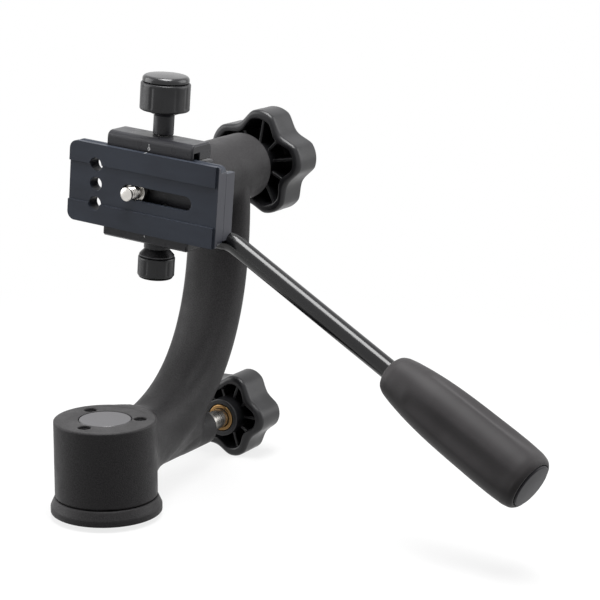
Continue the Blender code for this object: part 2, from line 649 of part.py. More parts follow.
def arm_stations():
    """Centre, direction and half sizes of each section, from inside the barrel to the housing."""
    foot = Vector((BARREL_RADIUS + ARM_FOOT_REACH, BARREL_TOP - ARM_FOOT_DROP))
    lead = foot + Vector((math.cos(ARM_FOOT_ANGLE), math.sin(ARM_FOOT_ANGLE))) * ARM_FOOT_PULL
    head = Vector((ARM_HEAD_X, TILT_AXIS_Z - ARM_HEAD_DROP))
    follow = head - Vector((0.0, ARM_HEAD_PULL))
    root = Vector((ARM_ROOT_X, BARREL_TOP - ARM_ROOT_DROP))
    stations = [(root, Vector((1.0, 0.0)), ARM_ROOT_DEPTH, ARM_ROOT_WIDTH)]
    for i in range(ARM_STEPS + 1):
        s = i / ARM_STEPS
        r = 1.0 - s
        centre = foot * r**3 + lead * (3 * s * r**2) + follow * (3 * s**2 * r) + head * s**3
        ahead = (lead - foot) * r**2 + (follow - lead) * (2 * s * r) + (head - follow) * s**2
        depth = ARM_DEPTH_FOOT + (ARM_DEPTH_HEAD - ARM_DEPTH_FOOT) * s
        width = ARM_WIDTH_FOOT + (ARM_WIDTH_HEAD - ARM_WIDTH_FOOT) * s
        stations.append((centre, ahead.normalized(), depth, width))
    top = Vector((ARM_HEAD_X, TILT_AXIS_Z))
    stations.append((top, Vector((0.0, 1.0)), ARM_DEPTH_HEAD, ARM_WIDTH_HEAD - JOIN_OVERLAP))
    return stations


def arm_shape():
    rings = []
    for centre, ahead, depth, width in arm_stations():
        outward = Vector((ahead.y, -ahead.x))
        rings.append([(centre.x + outward.x * across, along, centre.y + outward.y * across)
                      for across, along in superellipse(depth, width, ARM_SIDES)])
    return loft(rings)


def build_casting(finish, pan_axis):
    """Barrel, curved arm and pan-lock boss as one body, hollowed from below."""
    lock_place = (0.0, 0.0, PAN_LOCK_Z)
    profile = rod_profile(BARREL_RADIUS, BARREL_BOTTOM, BARREL_TOP, BARREL_EDGE)
    arm = from_bmesh("arm_casting", turned(profile, ROUND_SIDES), finish["cast"], pan_axis)
    join(arm, cutter("arm", arm_shape(), pan_axis))
    boss = rod_profile(BOSS_RADIUS, BARREL_RADIUS - BARREL_WALL / 2, BOSS_END, BOSS_EDGE)
    join(arm, cutter("boss", laid(turned(boss, BORE_SIDES)), pan_axis, lock_place))
    disc_hole = DISC_RADIUS + GAP
    ledge, seat = disc_hole - DISC_LEDGE, BARREL_TOP - DISC_THICKNESS
    low, high = BARREL_BOTTOM - OVERRUN, BARREL_TOP + OVERRUN
    hollow = [(0.0, low), (BARREL_BORE, low), (BARREL_BORE, BARREL_CEILING), (ledge, BARREL_CEILING),
              (ledge, seat), (disc_hole, seat), (disc_hole, high), (0.0, high)]
    cut(arm, cutter("barrel_hollow", turned(hollow, ROUND_SIDES), pan_axis))
    pad_bore, stud_bore = PAD_RADIUS + GAP, STUD_RADIUS + GAP
    step, mouth = PAD_END + GAP, BOSS_END + OVERRUN
    lock = [(0.0, PAD_START), (pad_bore, PAD_START), (pad_bore, step), (stud_bore, step), (stud_bore, mouth),
            (0.0, mouth)]
    cut(arm, cutter("pan_lock_bore", laid(turned(lock, SMALL_SIDES)), pan_axis, lock_place))
    return arm


def build_carrier(finish, pan_axis, arm):
    """The bearing carrier under the barrel's roof, and the three screws that hold it."""
    bore = UPPER_BEARING_RADIUS + GAP
    profile = tube_profile(BARREL_BORE - GAP, bore, CARRIER_BOTTOM, BARREL_CEILING - GAP)
    carrier = from_bmesh("bearing_carrier", turned(profile, ROUND_SIDES), finish["machined"], pan_axis)
    seat_depth = TOP_SCREW_HEAD_HEIGHT + GAP
    mouth = TOP_SCREW_SINK + OVERRUN
    hole = [(0.0, -TOP_SCREW_LENGTH - seat_depth), (TOP_SCREW_RADIUS + GAP, -TOP_SCREW_LENGTH - seat_depth),
            (TOP_SCREW_RADIUS + GAP, -seat_depth), (TOP_SCREW_HEAD + GAP, -seat_depth),
            (TOP_SCREW_HEAD + GAP, mouth), (0.0, mouth)]
    shank = cap_screw_profile(TOP_SCREW_HEAD, TOP_SCREW_HEAD_HEIGHT, TOP_SCREW_RADIUS, TOP_SCREW_LENGTH)
    for number, (x, y) in enumerate(on_circle(TOP_SCREWS, TOP_SCREW_CIRCLE, TOP_SCREW_ANGLE), 1):
        place = (x, y, BARREL_TOP - TOP_SCREW_SINK)
        tool = cutter(f"carrier_hole_{number}", turned(hole, SCREW_SIDES), pan_axis, place)
        cut(arm, tool)
        cut(carrier, tool)
        name = f"carrier_screw_{number}"
        screw = from_bmesh(name, turned(shank, SCREW_SIDES), finish["black_steel"], pan_axis, place)
        socket = hexagon(TOP_SCREW_SOCKET, -TOP_SCREW_SOCKET, OVERRUN)
        cut(screw, cutter(f"carrier_socket_{number}", socket, pan_axis, place))


def build_pan_bearings(finish, pan_axis):
    upper_low = SPINDLE_TOP - UPPER_BEARING_HEIGHT
    upper = tube_profile(UPPER_BEARING_RADIUS, SPINDLE_RADIUS + GAP, upper_low, SPINDLE_TOP, GAP)
    from_bmesh("pan_bearing_upper", turned(upper, BORE_SIDES), finish["steel"], pan_axis)
    low = BARREL_BOTTOM + GAP
    lower = tube_profile(BARREL_BORE - GAP, DRUM_RADIUS + GAP, low, LOWER_BEARING_TOP, GAP)
    from_bmesh("pan_bearing_lower", turned(lower, ROUND_SIDES), finish["steel"], pan_axis)


def build_top_disc(finish, pan_axis):
    """The bare disc that lies flush in the barrel's top."""
    disc = rod_profile(DISC_RADIUS, BARREL_TOP - DISC_THICKNESS + GAP, BARREL_TOP, GAP)
    from_bmesh("top_disc", turned(disc, ROUND_SIDES), finish["machined"], pan_axis)


def build_tilt_housing(finish, pan_axis, arm):
    """The round housing at the arm's end, bored for a bearing at either face."""
    place = (0.0, 0.0, TILT_AXIS_Z)
    housing = rod_profile(HOUSING_RADIUS, HOUSING_FRONT, HOUSING_REAR, HOUSING_EDGE)
    join(arm, cutter("housing", laid(turned(housing, ROUND_SIDES)), pan_axis, place))
    seat = TILT_BEARING_INSET + TILT_BEARING_WIDTH + GAP
    bore, shoulder = TILT_BEARING_RADIUS + GAP, TILT_BEARING_RADIUS - TILT_SHOULDER
    through = [(0.0, HOUSING_FRONT - OVERRUN), (bore, HOUSING_FRONT - OVERRUN), (bore, HOUSING_FRONT + seat),
               (shoulder, HOUSING_FRONT + seat), (shoulder, HOUSING_REAR - seat), (bore, HOUSING_REAR - seat),
               (bore, HOUSING_REAR + OVERRUN), (0.0, HOUSING_REAR + OVERRUN)]
    cut(arm, cutter("housing_bore", laid(turned(through, BORE_SIDES)), pan_axis, place))
    bearing = tube_profile(TILT_BEARING_RADIUS, AXLE_RADIUS + GAP, 0.0, TILT_BEARING_WIDTH, GAP)
    for name, x in (("front", HOUSING_FRONT + TILT_BEARING_INSET),
                    ("rear", HOUSING_REAR - TILT_BEARING_INSET - TILT_BEARING_WIDTH)):
        from_bmesh(f"tilt_bearing_{name}", laid(turned(bearing, BORE_SIDES)), finish["steel"], pan_axis,
                   (x, 0.0, TILT_AXIS_Z))


def cap_screw_profile(head, head_height, radius, length):
    """A socket cap screw that hangs down from the origin, at its head's top."""
    tip = -head_height - length
    return [(0.0, tip), (radius, tip), (radius, -head_height), (head, -head_height), (head, 0.0), (0.0, 0.0)]


# Star knobs

def star_outline(tip, edge_drop, flute_drop, inset, phase):
    """A five-lobed outline: convex lobes that meet concave flutes at an edge."""
    points = []
    pitch = 2 * math.pi / KNOB_LOBES
    flute_angle = pitch - 2 * LOBE_HALF_ANGLE
    for lobe in range(KNOB_LOBES):
        middle = phase + lobe * pitch
        for i in range(-LOBE_STEPS, LOBE_STEPS + 1):
            share = i / LOBE_STEPS
            radius = tip - edge_drop * share**2
            points.append((radius - inset, middle + share * LOBE_HALF_ANGLE))
        for i in range(1, FLUTE_STEPS):
            share = i / FLUTE_STEPS
            radius = tip - edge_drop - (flute_drop - edge_drop) * math.sin(math.pi * share)
            points.append((radius - inset, middle + LOBE_HALF_ANGLE + share * flute_angle))
    return points


def star_ring(sizes, inset, height, phase):
    return [(radius * math.cos(angle), radius * math.sin(angle), height)
            for radius, angle in star_outline(*sizes, inset, phase)]


def star_shell(sizes, depth, phase):
    """The hollow shell of a star knob, open towards -Z, from height 0 to depth."""
    floor = depth - KNOB_FLOOR
    draft = KNOB_WALL + KNOB_EDGE
    round_off = KNOB_BACK_EDGE * KNOB_BACK_SHARE
    outside = [(KNOB_EDGE, 0.0), (0.0, KNOB_EDGE), (0.0, depth - KNOB_BACK_EDGE),
               (round_off, depth - round_off), (KNOB_BACK_EDGE, depth)]
    inside = [(draft, floor), (KNOB_WALL, 0.0)]
    return loft([star_ring(sizes, inset, height, phase) for inset, height in inside + outside])


def rib_outline(reach_tip, reach_flute, phase):
    """Ten ribs as one star outline: long to the lobes, short to the flutes."""
    half = RIB_THICKNESS / 2
    count = 2 * KNOB_LOBES
    points = []
    for i in range(count):
        angle = phase + i * math.pi / KNOB_LOBES
        reach = reach_tip if i % 2 == 0 else reach_flute
        along = Vector((math.cos(angle), math.sin(angle)))
        across = Vector((-along.y, along.x)) * half
        points += [tuple(along * reach - across), tuple(along * reach + across)]
        between = angle + math.pi / count
        crotch = half / math.sin(math.pi / count)
        points.append((crotch * math.cos(between), crotch * math.sin(between)))
    return points


def build_star_knob(name, finish, parent, place, sizes, depth, phase, hub_radius, hub_reach, insert_radius):
    """A hollow star knob along +X: its hub stands out of the open side by hub_reach.

    The sizes are the lobes' tip radius and how far their edges and the flutes lie inside it.
    """
    knob = from_bmesh(name, laid(star_shell(sizes, depth, phase)), finish["plastic"], parent, place)
    floor = depth - KNOB_FLOOR
    hub = turned(rod_profile(hub_radius, -hub_reach, floor + JOIN_OVERLAP), BORE_SIDES)
    join(knob, cutter(name + "_hub", laid(hub), parent, place))
    tip_reach = sizes[0] - KNOB_WALL / 2
    flute_reach = tip_reach - sizes[2]
    ribs = prism(rib_outline(tip_reach, flute_reach, phase), RIB_SINK, floor + JOIN_OVERLAP)
    join(knob, cutter(name + "_ribs", laid(ribs), parent, place))
    bore_profile = rod_profile(insert_radius + GAP, -hub_reach - OVERRUN, floor - KNOB_CAP_THICKNESS)
    bore = turned(bore_profile, BORE_SIDES)
    cut(knob, cutter(name + "_bore", laid(bore), parent, place))
    recess_low = depth - KNOB_CAP_THICKNESS + KNOB_CAP_PROUD
    recess = turned(rod_profile(KNOB_CAP_RADIUS + GAP, recess_low, depth + OVERRUN), BORE_SIDES)
    cut(knob, cutter(name + "_cap_recess", laid(recess), parent, place))
    return knob


def build_knob_cap(name, finish, parent, place, depth):
    low = depth - KNOB_CAP_THICKNESS + KNOB_CAP_PROUD + GAP
    profile = rod_profile(KNOB_CAP_RADIUS, low, depth + KNOB_CAP_PROUD, KNOB_CAP_EDGE)
    return from_bmesh(name, laid(turned(profile, BORE_SIDES)), finish["plastic"], parent, place)


# Pan lock

def build_pan_lock(finish, pan_axis):
    place = (0.0, 0.0, PAN_LOCK_Z)
    pad = rod_profile(PAD_RADIUS, PAD_START, PAD_END, GAP)
    from_bmesh("pan_brake_pad", laid(turned(pad, SMALL_SIDES)), finish["brass"], pan_axis, place)
    insert_end = PAN_KNOB_NEAR + PAN_KNOB_DEPTH - KNOB_FLOOR - KNOB_CAP_THICKNESS - GAP
    stud = rod_profile(STUD_RADIUS, PAD_END + GAP + GAP, insert_end, GAP)
    from_bmesh("pan_lock_stud", laid(turned(stud, SMALL_SIDES)), finish["steel"], pan_axis, place)
    insert = tube_profile(PAN_INSERT_RADIUS, STUD_RADIUS + GAP, PAN_HUB_FACE - GAP, insert_end, GAP)
    from_bmesh("pan_knob_insert", laid(turned(insert, BORE_SIDES)), finish["brass"], pan_axis, place)
    knob_place = (PAN_KNOB_NEAR, 0.0, PAN_LOCK_Z)
    sizes = (PAN_KNOB_TIP, PAN_KNOB_EDGE_DROP, PAN_KNOB_FLUTE_DROP)
    phase = knob_phase(PAN_KNOB_PHASE)
    build_star_knob("pan_lock_knob", finish, pan_axis, knob_place, sizes, PAN_KNOB_DEPTH, phase,
                    PAN_HUB_RADIUS, PAN_HUB_REACH, PAN_INSERT_RADIUS)
    build_knob_cap("pan_knob_cap", finish, pan_axis, knob_place, PAN_KNOB_DEPTH)


def knob_phase(angle):
    """An angle from +Y towards +Z, as the angle to draw in a piece that is then laid along +X."""
    return math.pi / 2 + angle


# Tilt axle, hub and lock

def hub_screw_places():
    offset = HUB_SCREW_CIRCLE / math.sqrt(2)
    return [(y, z) for y in (-offset, offset) for z in (-offset, offset)]


def build_tilt_hub(finish, head):
    """The hub between clamp and housing, bored for the axle and recessed for its head."""
    bore, wide_bore = AXLE_RADIUS + GAP, AXLE_HEAD_RADIUS + GAP
    recess = HUB_FRONT + AXLE_HEAD_THICKNESS + GAP
    rim = HUB_RADIUS - HUB_EDGE
    profile = [(wide_bore, HUB_FRONT), (rim, HUB_FRONT), (HUB_RADIUS, HUB_FRONT + HUB_EDGE),
               (HUB_RADIUS, HUB_REAR - HUB_EDGE), (rim, HUB_REAR), (bore, HUB_REAR), (bore, recess),
               (wide_bore, recess)]
    hub = from_bmesh("tilt_hub", laid(turned(profile, ROUND_SIDES)), finish["machined"], head)
    low, high = HUB_REAR + GAP, HUB_REAR + GAP + FRICTION_WASHER_THICKNESS
    friction = tube_profile(HUB_RADIUS - FRICTION_WASHER_INSET, bore, low, high)
    from_bmesh("tilt_friction_washer", laid(turned(friction, ROUND_SIDES)), finish["nylon"], head)
    return hub


def build_tilt_axle(finish, head, insert_end):
    """The axle, its head sunk in the hub and its thread in the large knob's insert."""
    start = HUB_FRONT + GAP
    head_end = HUB_FRONT + AXLE_HEAD_THICKNESS
    profile = [(0.0, start), (AXLE_HEAD_RADIUS, start), (AXLE_HEAD_RADIUS, head_end), (AXLE_RADIUS, head_end),
               (AXLE_RADIUS, HOUSING_REAR), (AXLE_THREAD_RADIUS, HOUSING_REAR), (AXLE_THREAD_RADIUS, insert_end),
               (0.0, insert_end)]
    from_bmesh("tilt_axle", laid(turned(profile, BORE_SIDES)), finish["steel"], head)


def build_tilt_lock(finish, head):
    """The thrust washer, the axle and the large star knob that draws the head against the housing."""
    thread_bore = AXLE_THREAD_RADIUS + GAP
    washer = tube_profile(THRUST_WASHER_RADIUS, thread_bore, HOUSING_REAR + GAP, THRUST_WASHER_REAR, GAP)
    from_bmesh("tilt_thrust_washer", laid(turned(washer, BORE_SIDES)), finish["steel"], head)
    insert_end = TILT_KNOB_NEAR + TILT_KNOB_DEPTH - KNOB_FLOOR - KNOB_CAP_THICKNESS - GAP
    build_tilt_axle(finish, head, insert_end)
    insert = tube_profile(TILT_INSERT_RADIUS, thread_bore, THRUST_WASHER_REAR + GAP, insert_end, GAP)
    from_bmesh("tilt_knob_insert", laid(turned(insert, BORE_SIDES)), finish["brass"], head)
    place = (TILT_KNOB_NEAR, 0.0, 0.0)
    sizes = (TILT_KNOB_TIP, TILT_KNOB_EDGE_DROP, TILT_KNOB_FLUTE_DROP)
    phase = knob_phase(TILT_KNOB_PHASE - TILT_REST)
    build_star_knob("tilt_lock_knob", finish, head, place, sizes, TILT_KNOB_DEPTH, phase,
                    TILT_HUB_RADIUS, TILT_HUB_REACH, TILT_INSERT_RADIUS)
    build_knob_cap("tilt_knob_cap", finish, head, place, TILT_KNOB_DEPTH)


# Clamp

def lip_points():
    """The jaws' lip in (x, z): its front edge, and where its 45 degree face ends at the seat."""
    slope_back = PLATE_BACK - PLATE_TAIL
    edge_z = SEAT_Z - (slope_back - JAW_FRONT)
    return (JAW_FRONT, edge_z), (slope_back, SEAT_Z)


def extrude_along_y(outline_xz, y_low, y_high):
    """A prism whose outline lies in XZ."""
    shape = prism([(x, z) for x, z in outline_xz], 0.0, y_high - y_low)
    turn = Matrix.Rotation(math.pi / 2, 4, "X")
    bmesh.ops.transform(shape, matrix=turn, verts=shape.verts)
    bmesh.ops.translate(shape, verts=shape.verts, vec=(0.0, y_high, 0.0))
    return shape


def build_clamp_body(finish, head):
    """The fixed lower jaw, its back, the bracket and the boss of the handle's lock, as one piece."""
    (lip_x, lip_z), (slope_x, slope_z) = lip_points()
    outline = [(lip_x, -lip_z), (slope_x, -slope_z), (SEAT_X, -slope_z), (SEAT_X, BODY_TOP),
               (BODY_BACK, BODY_TOP), (BODY_BACK, BODY_BOTTOM), (lip_x, BODY_BOTTOM)]
    body = from_bmesh("clamp_body", extrude_along_y(outline, -JAW_HALF, JAW_HALF), finish["machined"], head)
    soften(body, BODY_EDGE)
    bracket_back = SEAT_X + BRACKET_THICKNESS
    bracket = box((SEAT_X, BRACKET_END, BRACKET_BOTTOM), (bracket_back, JOIN_OVERLAP - JAW_HALF, BRACKET_TOP))
    join(body, soften(cutter("bracket", bracket, head), BODY_EDGE))
    knob_place = (SCREW_AXIS_X, 0.0, 0.0)
    boss = rod_profile(LOCK_BOSS_RADIUS, LOCK_BOSS_BOTTOM, BODY_BOTTOM + JOIN_OVERLAP)
    join(body, cutter("lock_boss", turned(boss, SMALL_SIDES), head, knob_place))

    screw_bore = rod_profile(CLAMP_SCREW_RADIUS + GAP, CLAMP_SCREW_BOTTOM - OVERRUN, BODY_TOP + OVERRUN)
    cut(body, cutter("clamp_screw_bore", turned(screw_bore, SMALL_SIDES), head, knob_place))
    rod_bore = rod_profile(ROD_RADIUS + GAP, -ROD_INNER_END - GAP, -BRACKET_END + OVERRUN)
    rod_place = (SCREW_AXIS_X, 0.0, ROD_Z)
    cut(body, cutter("rod_bore", turned(rod_bore, SMALL_SIDES), head, rod_place, (math.pi / 2, 0.0, 0.0)))
    shoe_bore = rod_profile(SHOE_RADIUS + GAP, LOCK_BOSS_BOTTOM - OVERRUN, ROD_Z)
    cut(body, cutter("shoe_bore", turned(shoe_bore, SMALL_SIDES), head, knob_place))
    for number, y in enumerate((-GUIDE_PIN_Y, GUIDE_PIN_Y), 1):
        bore = [(0.0, GUIDE_PIN_BOTTOM - GAP), (GUIDE_PIN_RADIUS + GAP, GUIDE_PIN_BOTTOM - GAP),
                (GUIDE_PIN_RADIUS + GAP, POCKET_BOTTOM), (SPRING_POCKET_RADIUS, POCKET_BOTTOM),
                (SPRING_POCKET_RADIUS, BODY_TOP + OVERRUN), (0.0, BODY_TOP + OVERRUN)]
        cut(body, cutter(f"body_pin_bore_{number}", turned(bore, SCREW_SIDES), head, (SCREW_AXIS_X, y, 0.0)))
    return body


def build_hub_screws(finish, head, body, hub):
    """Four cap screws from the clamp's seat through its back into the hub."""
    for number, (y, z) in enumerate(hub_screw_places(), 1):
        place = (SEAT_X + GAP, y, z)
        seat = HUB_SCREW_HEAD_HEIGHT + GAP
        tip = seat + HUB_SCREW_LENGTH + GAP
        hole = [(0.0, -OVERRUN), (HUB_SCREW_HEAD + GAP, -OVERRUN), (HUB_SCREW_HEAD + GAP, seat),
                (HUB_SCREW_RADIUS + GAP, seat), (HUB_SCREW_RADIUS + GAP, tip), (0.0, tip)]
        tool = cutter(f"hub_hole_{number}", laid(turned(hole, SCREW_SIDES)), head, place)
        cut(body, tool)
        cut(hub, tool)
        end = HUB_SCREW_HEAD_HEIGHT + HUB_SCREW_LENGTH
        profile = [(0.0, 0.0), (HUB_SCREW_HEAD, 0.0), (HUB_SCREW_HEAD, HUB_SCREW_HEAD_HEIGHT),
                   (HUB_SCREW_RADIUS, HUB_SCREW_HEAD_HEIGHT), (HUB_SCREW_RADIUS, end), (0.0, end)]
        shape = laid(turned(profile, SCREW_SIDES))
        screw = from_bmesh(f"hub_screw_{number}", shape, finish["black_steel"], head, place)
        socket = hexagon(HUB_SCREW_SOCKET, -OVERRUN, HUB_SCREW_SOCKET)
        cut(screw, cutter(f"hub_socket_{number}", laid(socket), head, place))


def build_jaw(finish, head):
    """The upper jaw, bored for the clamp screw and the guide pins."""
    (lip_x, lip_z), (slope_x, slope_z) = lip_points()
    relief_z = slope_z + JAW_RELIEF_DEPTH
    relief_back = slope_x + JAW_RELIEF_WIDTH
    quarter = math.pi / 2
    outline = [(lip_x, lip_z)]
    round_z = JAW_TOP - JAW_ROUND
    outline += round_corner((lip_x + JAW_ROUND, round_z), JAW_ROUND, math.pi, quarter, JAW_ROUND_STEPS)
    outline += round_corner((JAW_BACK - JAW_ROUND, round_z), JAW_ROUND, quarter, 0.0, JAW_ROUND_STEPS)
    outline += [(JAW_BACK, JAW_BOTTOM), (relief_back, JAW_BOTTOM), (relief_back, relief_z),
                (slope_x, relief_z), (slope_x, slope_z)]
    jaw = from_bmesh("upper_jaw", extrude_along_y(outline, -JAW_HALF, JAW_HALF), finish["machined"], head)
    soften(jaw, JAW_EDGE)
    bore = rod_profile(CLAMP_SCREW_RADIUS + GAP, JAW_BOTTOM - OVERRUN, JAW_TOP + OVERRUN)
    cut(jaw, cutter("jaw_screw_bore", turned(bore, SMALL_SIDES), head, (SCREW_AXIS_X, 0.0, 0.0)))
    return jaw


def build_guide_pins(finish, head, jaw):
    """Two pins that keep the jaw square, each with the spring that lifts it."""
    for number, y in enumerate((-GUIDE_PIN_Y, GUIDE_PIN_Y), 1):
        place = (SCREW_AXIS_X, y, 0.0)
        mouth = JAW_BOTTOM - OVERRUN
        bore = [(0.0, mouth), (SPRING_POCKET_RADIUS, mouth), (SPRING_POCKET_RADIUS, POCKET_TOP),
                (GUIDE_PIN_RADIUS + GAP, POCKET_TOP), (GUIDE_PIN_RADIUS + GAP, GUIDE_PIN_TOP + GAP),
                (0.0, GUIDE_PIN_TOP + GAP)]
        cut(jaw, cutter(f"jaw_pin_bore_{number}", turned(bore, SCREW_SIDES), head, place))
        pin = rod_profile(GUIDE_PIN_RADIUS, GUIDE_PIN_BOTTOM, GUIDE_PIN_TOP, GAP)
        from_bmesh(f"jaw_guide_pin_{number}", turned(pin, SCREW_SIDES), finish["steel"], head, place)
        build_spring(f"jaw_spring_{number}", finish, head, place)


def build_spring(name, finish, parent, place):
    """One coil round its guide pin, as a single unbroken tube."""
    low_centre = POCKET_BOTTOM + GAP + SPRING_WIRE
    high_centre = POCKET_TOP - GAP - SPRING_WIRE
    count = SPRING_TURNS * SPRING_TURN_POINTS
    points = []
    for i in range(count + 1):
        angle = 2 * math.pi * i / SPRING_TURN_POINTS
        points.append(Vector((SPRING_RADIUS * math.cos(angle), SPRING_RADIUS * math.sin(angle),
                              low_centre + (high_centre - low_centre) * i / count)))
    curve = tube_curve(name, points, SPRING_WIRE, SPRING_RESOLUTION)
    add_object(name, curve, finish["steel"], parent, place, (0.0, 0.0, 0.0))
    least = min((a - b).length for i, a in enumerate(points) for b in points[i + SPRING_TURN_POINTS // 2:])
    print(f"{name}: least gap to itself {1000 * (least - 2 * SPRING_WIRE):.2f} mm")


def tube_curve(name, points, radius, resolution):
    curve = bpy.data.curves.new(name, "CURVE")
    curve.dimensions = "3D"
    curve.bevel_depth = radius
    curve.bevel_resolution = resolution
    curve.use_fill_caps = True
    spline = curve.splines.new("POLY")
    spline.points.add(len(points) - 1)
    for target, point in zip(spline.points, points):
        target.co = (*point, 1.0)
    return curve


def ribbed_grip(radius, low, high, edge, ribs):
    """A sleeve with shallow upright grooves between its chamfers."""
    def outside(inset, height, depth):
        ring = []
        for i, (x, y) in enumerate(on_circle(GRIP_RIB_POINTS * ribs, 1.0)):
            sunk = depth if i % GRIP_RIB_POINTS == 0 else 0.0
            reach = radius - inset - sunk
            ring.append((reach * x, reach * y, height))
        return ring

    levels = [(edge, low, 0.0), (0.0, low + edge, 0.0), (0.0, low + 2 * edge, GRIP_RIB_DEPTH),
              (0.0, high - 2 * edge, GRIP_RIB_DEPTH), (0.0, high - edge, 0.0), (edge, high, 0.0)]
    return loft([outside(*level) for level in levels])


def dome_profile(radius, low, high, edge):
    """A cap with a rounded upper edge and a slightly domed top."""
    start = low + edge
    dome = [(radius * radius_share, start + (high - start) * share) for radius_share, share in DOME_SHARES]
    return [(0.0, low), (radius - edge, low), (radius, start)] + dome + [(0.0, high)]


def build_clamp_knob(finish, head):
    place = (SCREW_AXIS_X, 0.0, 0.0)
    screw_top = CLAMP_GRIP_TOP - GAP
    screw = rod_profile(CLAMP_SCREW_RADIUS, CLAMP_SCREW_BOTTOM, screw_top, GAP)
    from_bmesh("clamp_screw", turned(screw, SMALL_SIDES), finish["steel"], head, place)
    bore = CLAMP_SCREW_RADIUS + GAP
    collar_top = CLAMP_GRIP_BOTTOM - GAP
    collar_low = collar_top - CLAMP_COLLAR_HEIGHT
    stem = [(bore, JAW_TOP + GAP), (CLAMP_STEM_RADIUS, JAW_TOP + GAP), (CLAMP_STEM_RADIUS, collar_low),
            (CLAMP_COLLAR_RADIUS, collar_top), (bore, collar_top)]
    from_bmesh("clamp_knob_stem", turned(stem, BORE_SIDES), finish["machined"], head, place)
    shape = ribbed_grip(CLAMP_GRIP_RADIUS, CLAMP_GRIP_BOTTOM, CLAMP_GRIP_TOP, CLAMP_GRIP_EDGE, CLAMP_RIBS)
    grip = from_bmesh("clamp_knob_grip", shape, finish["plastic"], head, place)
    hole = rod_profile(bore, CLAMP_GRIP_BOTTOM - OVERRUN, CLAMP_GRIP_TOP + OVERRUN)
    cut(grip, cutter("clamp_grip_bore", turned(hole, SMALL_SIDES), head, place))
    cap_radius = CLAMP_GRIP_RADIUS - GRIP_CAP_STEP
    cap = dome_profile(cap_radius, CLAMP_GRIP_TOP + GAP, CLAMP_CAP_TOP, CLAMP_GRIP_EDGE)
    from_bmesh("clamp_knob_cap", turned(cap, BORE_SIDES), finish["plastic"], head, place)


def build_handle_lock(finish, head):
    place = (SCREW_AXIS_X, 0.0, 0.0)
    shoe = rod_profile(SHOE_RADIUS, SHOE_BOTTOM, SHOE_TOP, GAP)
    from_bmesh("handle_lock_shoe", turned(shoe, SMALL_SIDES), finish["brass"], head, place)
    bore = LOCK_SCREW_RADIUS + GAP
    screw = rod_profile(LOCK_SCREW_RADIUS, LOCK_GRIP_BOTTOM + GAP, SHOE_BOTTOM - GAP, GAP)
    from_bmesh("handle_lock_screw", turned(screw, SMALL_SIDES), finish["steel"], head, place)
    low, high = LOCK_GRIP_TOP + GAP, LOCK_BOSS_BOTTOM - GAP
    widest = LOCK_GRIP_RADIUS - LOCK_COLLAR_STEP
    shoulder = low + LOCK_GRIP_EDGE
    collar = [(bore, low), (widest, low), (widest, shoulder), (LOCK_COLLAR_NECK, high), (bore, high)]
    from_bmesh("handle_lock_collar", turned(collar, BORE_SIDES), finish["machined"], head, place)
    shape = ribbed_grip(LOCK_GRIP_RADIUS, LOCK_GRIP_BOTTOM, LOCK_GRIP_TOP, LOCK_GRIP_EDGE, LOCK_RIBS)
    grip = from_bmesh("handle_lock_grip", shape, finish["plastic"], head, place)
    hole = rod_profile(bore, LOCK_GRIP_BOTTOM - OVERRUN, LOCK_GRIP_TOP + OVERRUN)
    cut(grip, cutter("lock_grip_bore", turned(hole, SMALL_SIDES), head, place))
    top = LOCK_GRIP_BOTTOM - GAP
    upright = dome_profile(LOCK_GRIP_RADIUS - GRIP_CAP_STEP, -top, -LOCK_CAP_BOTTOM, GAP)
    cap = [(radius, -height) for radius, height in upright]
    from_bmesh("handle_lock_cap", turned(cap, BORE_SIDES), finish["plastic"], head, place)


# Lens plate

def along_x(outline_yz, low, high):
    """A prism along +X whose outline lies in YZ."""
    shape = prism([(-z, y) for y, z in outline_yz], low, high)
    bmesh.ops.transform(shape, matrix=Matrix.Rotation(math.pi / 2, 4, "Y"), verts=shape.verts)
    return shape


def plate_outline():
    """The plate's section in (x, z): front flange, grooves and 45 degree dovetail."""
    throat = PLATE_HALF - PLATE_GROOVE
    lip = PLATE_FRONT + PLATE_LIP
    tail_front = PLATE_BACK - PLATE_TAIL
    upper = [(PLATE_FRONT, PLATE_HALF), (lip, PLATE_HALF), (lip, throat),
             (tail_front - (TAIL_HALF - throat), throat), (tail_front, TAIL_HALF), (PLATE_BACK, TAIL_HALF)]
    return upper + [(x, -z) for x, z in reversed(upper)]


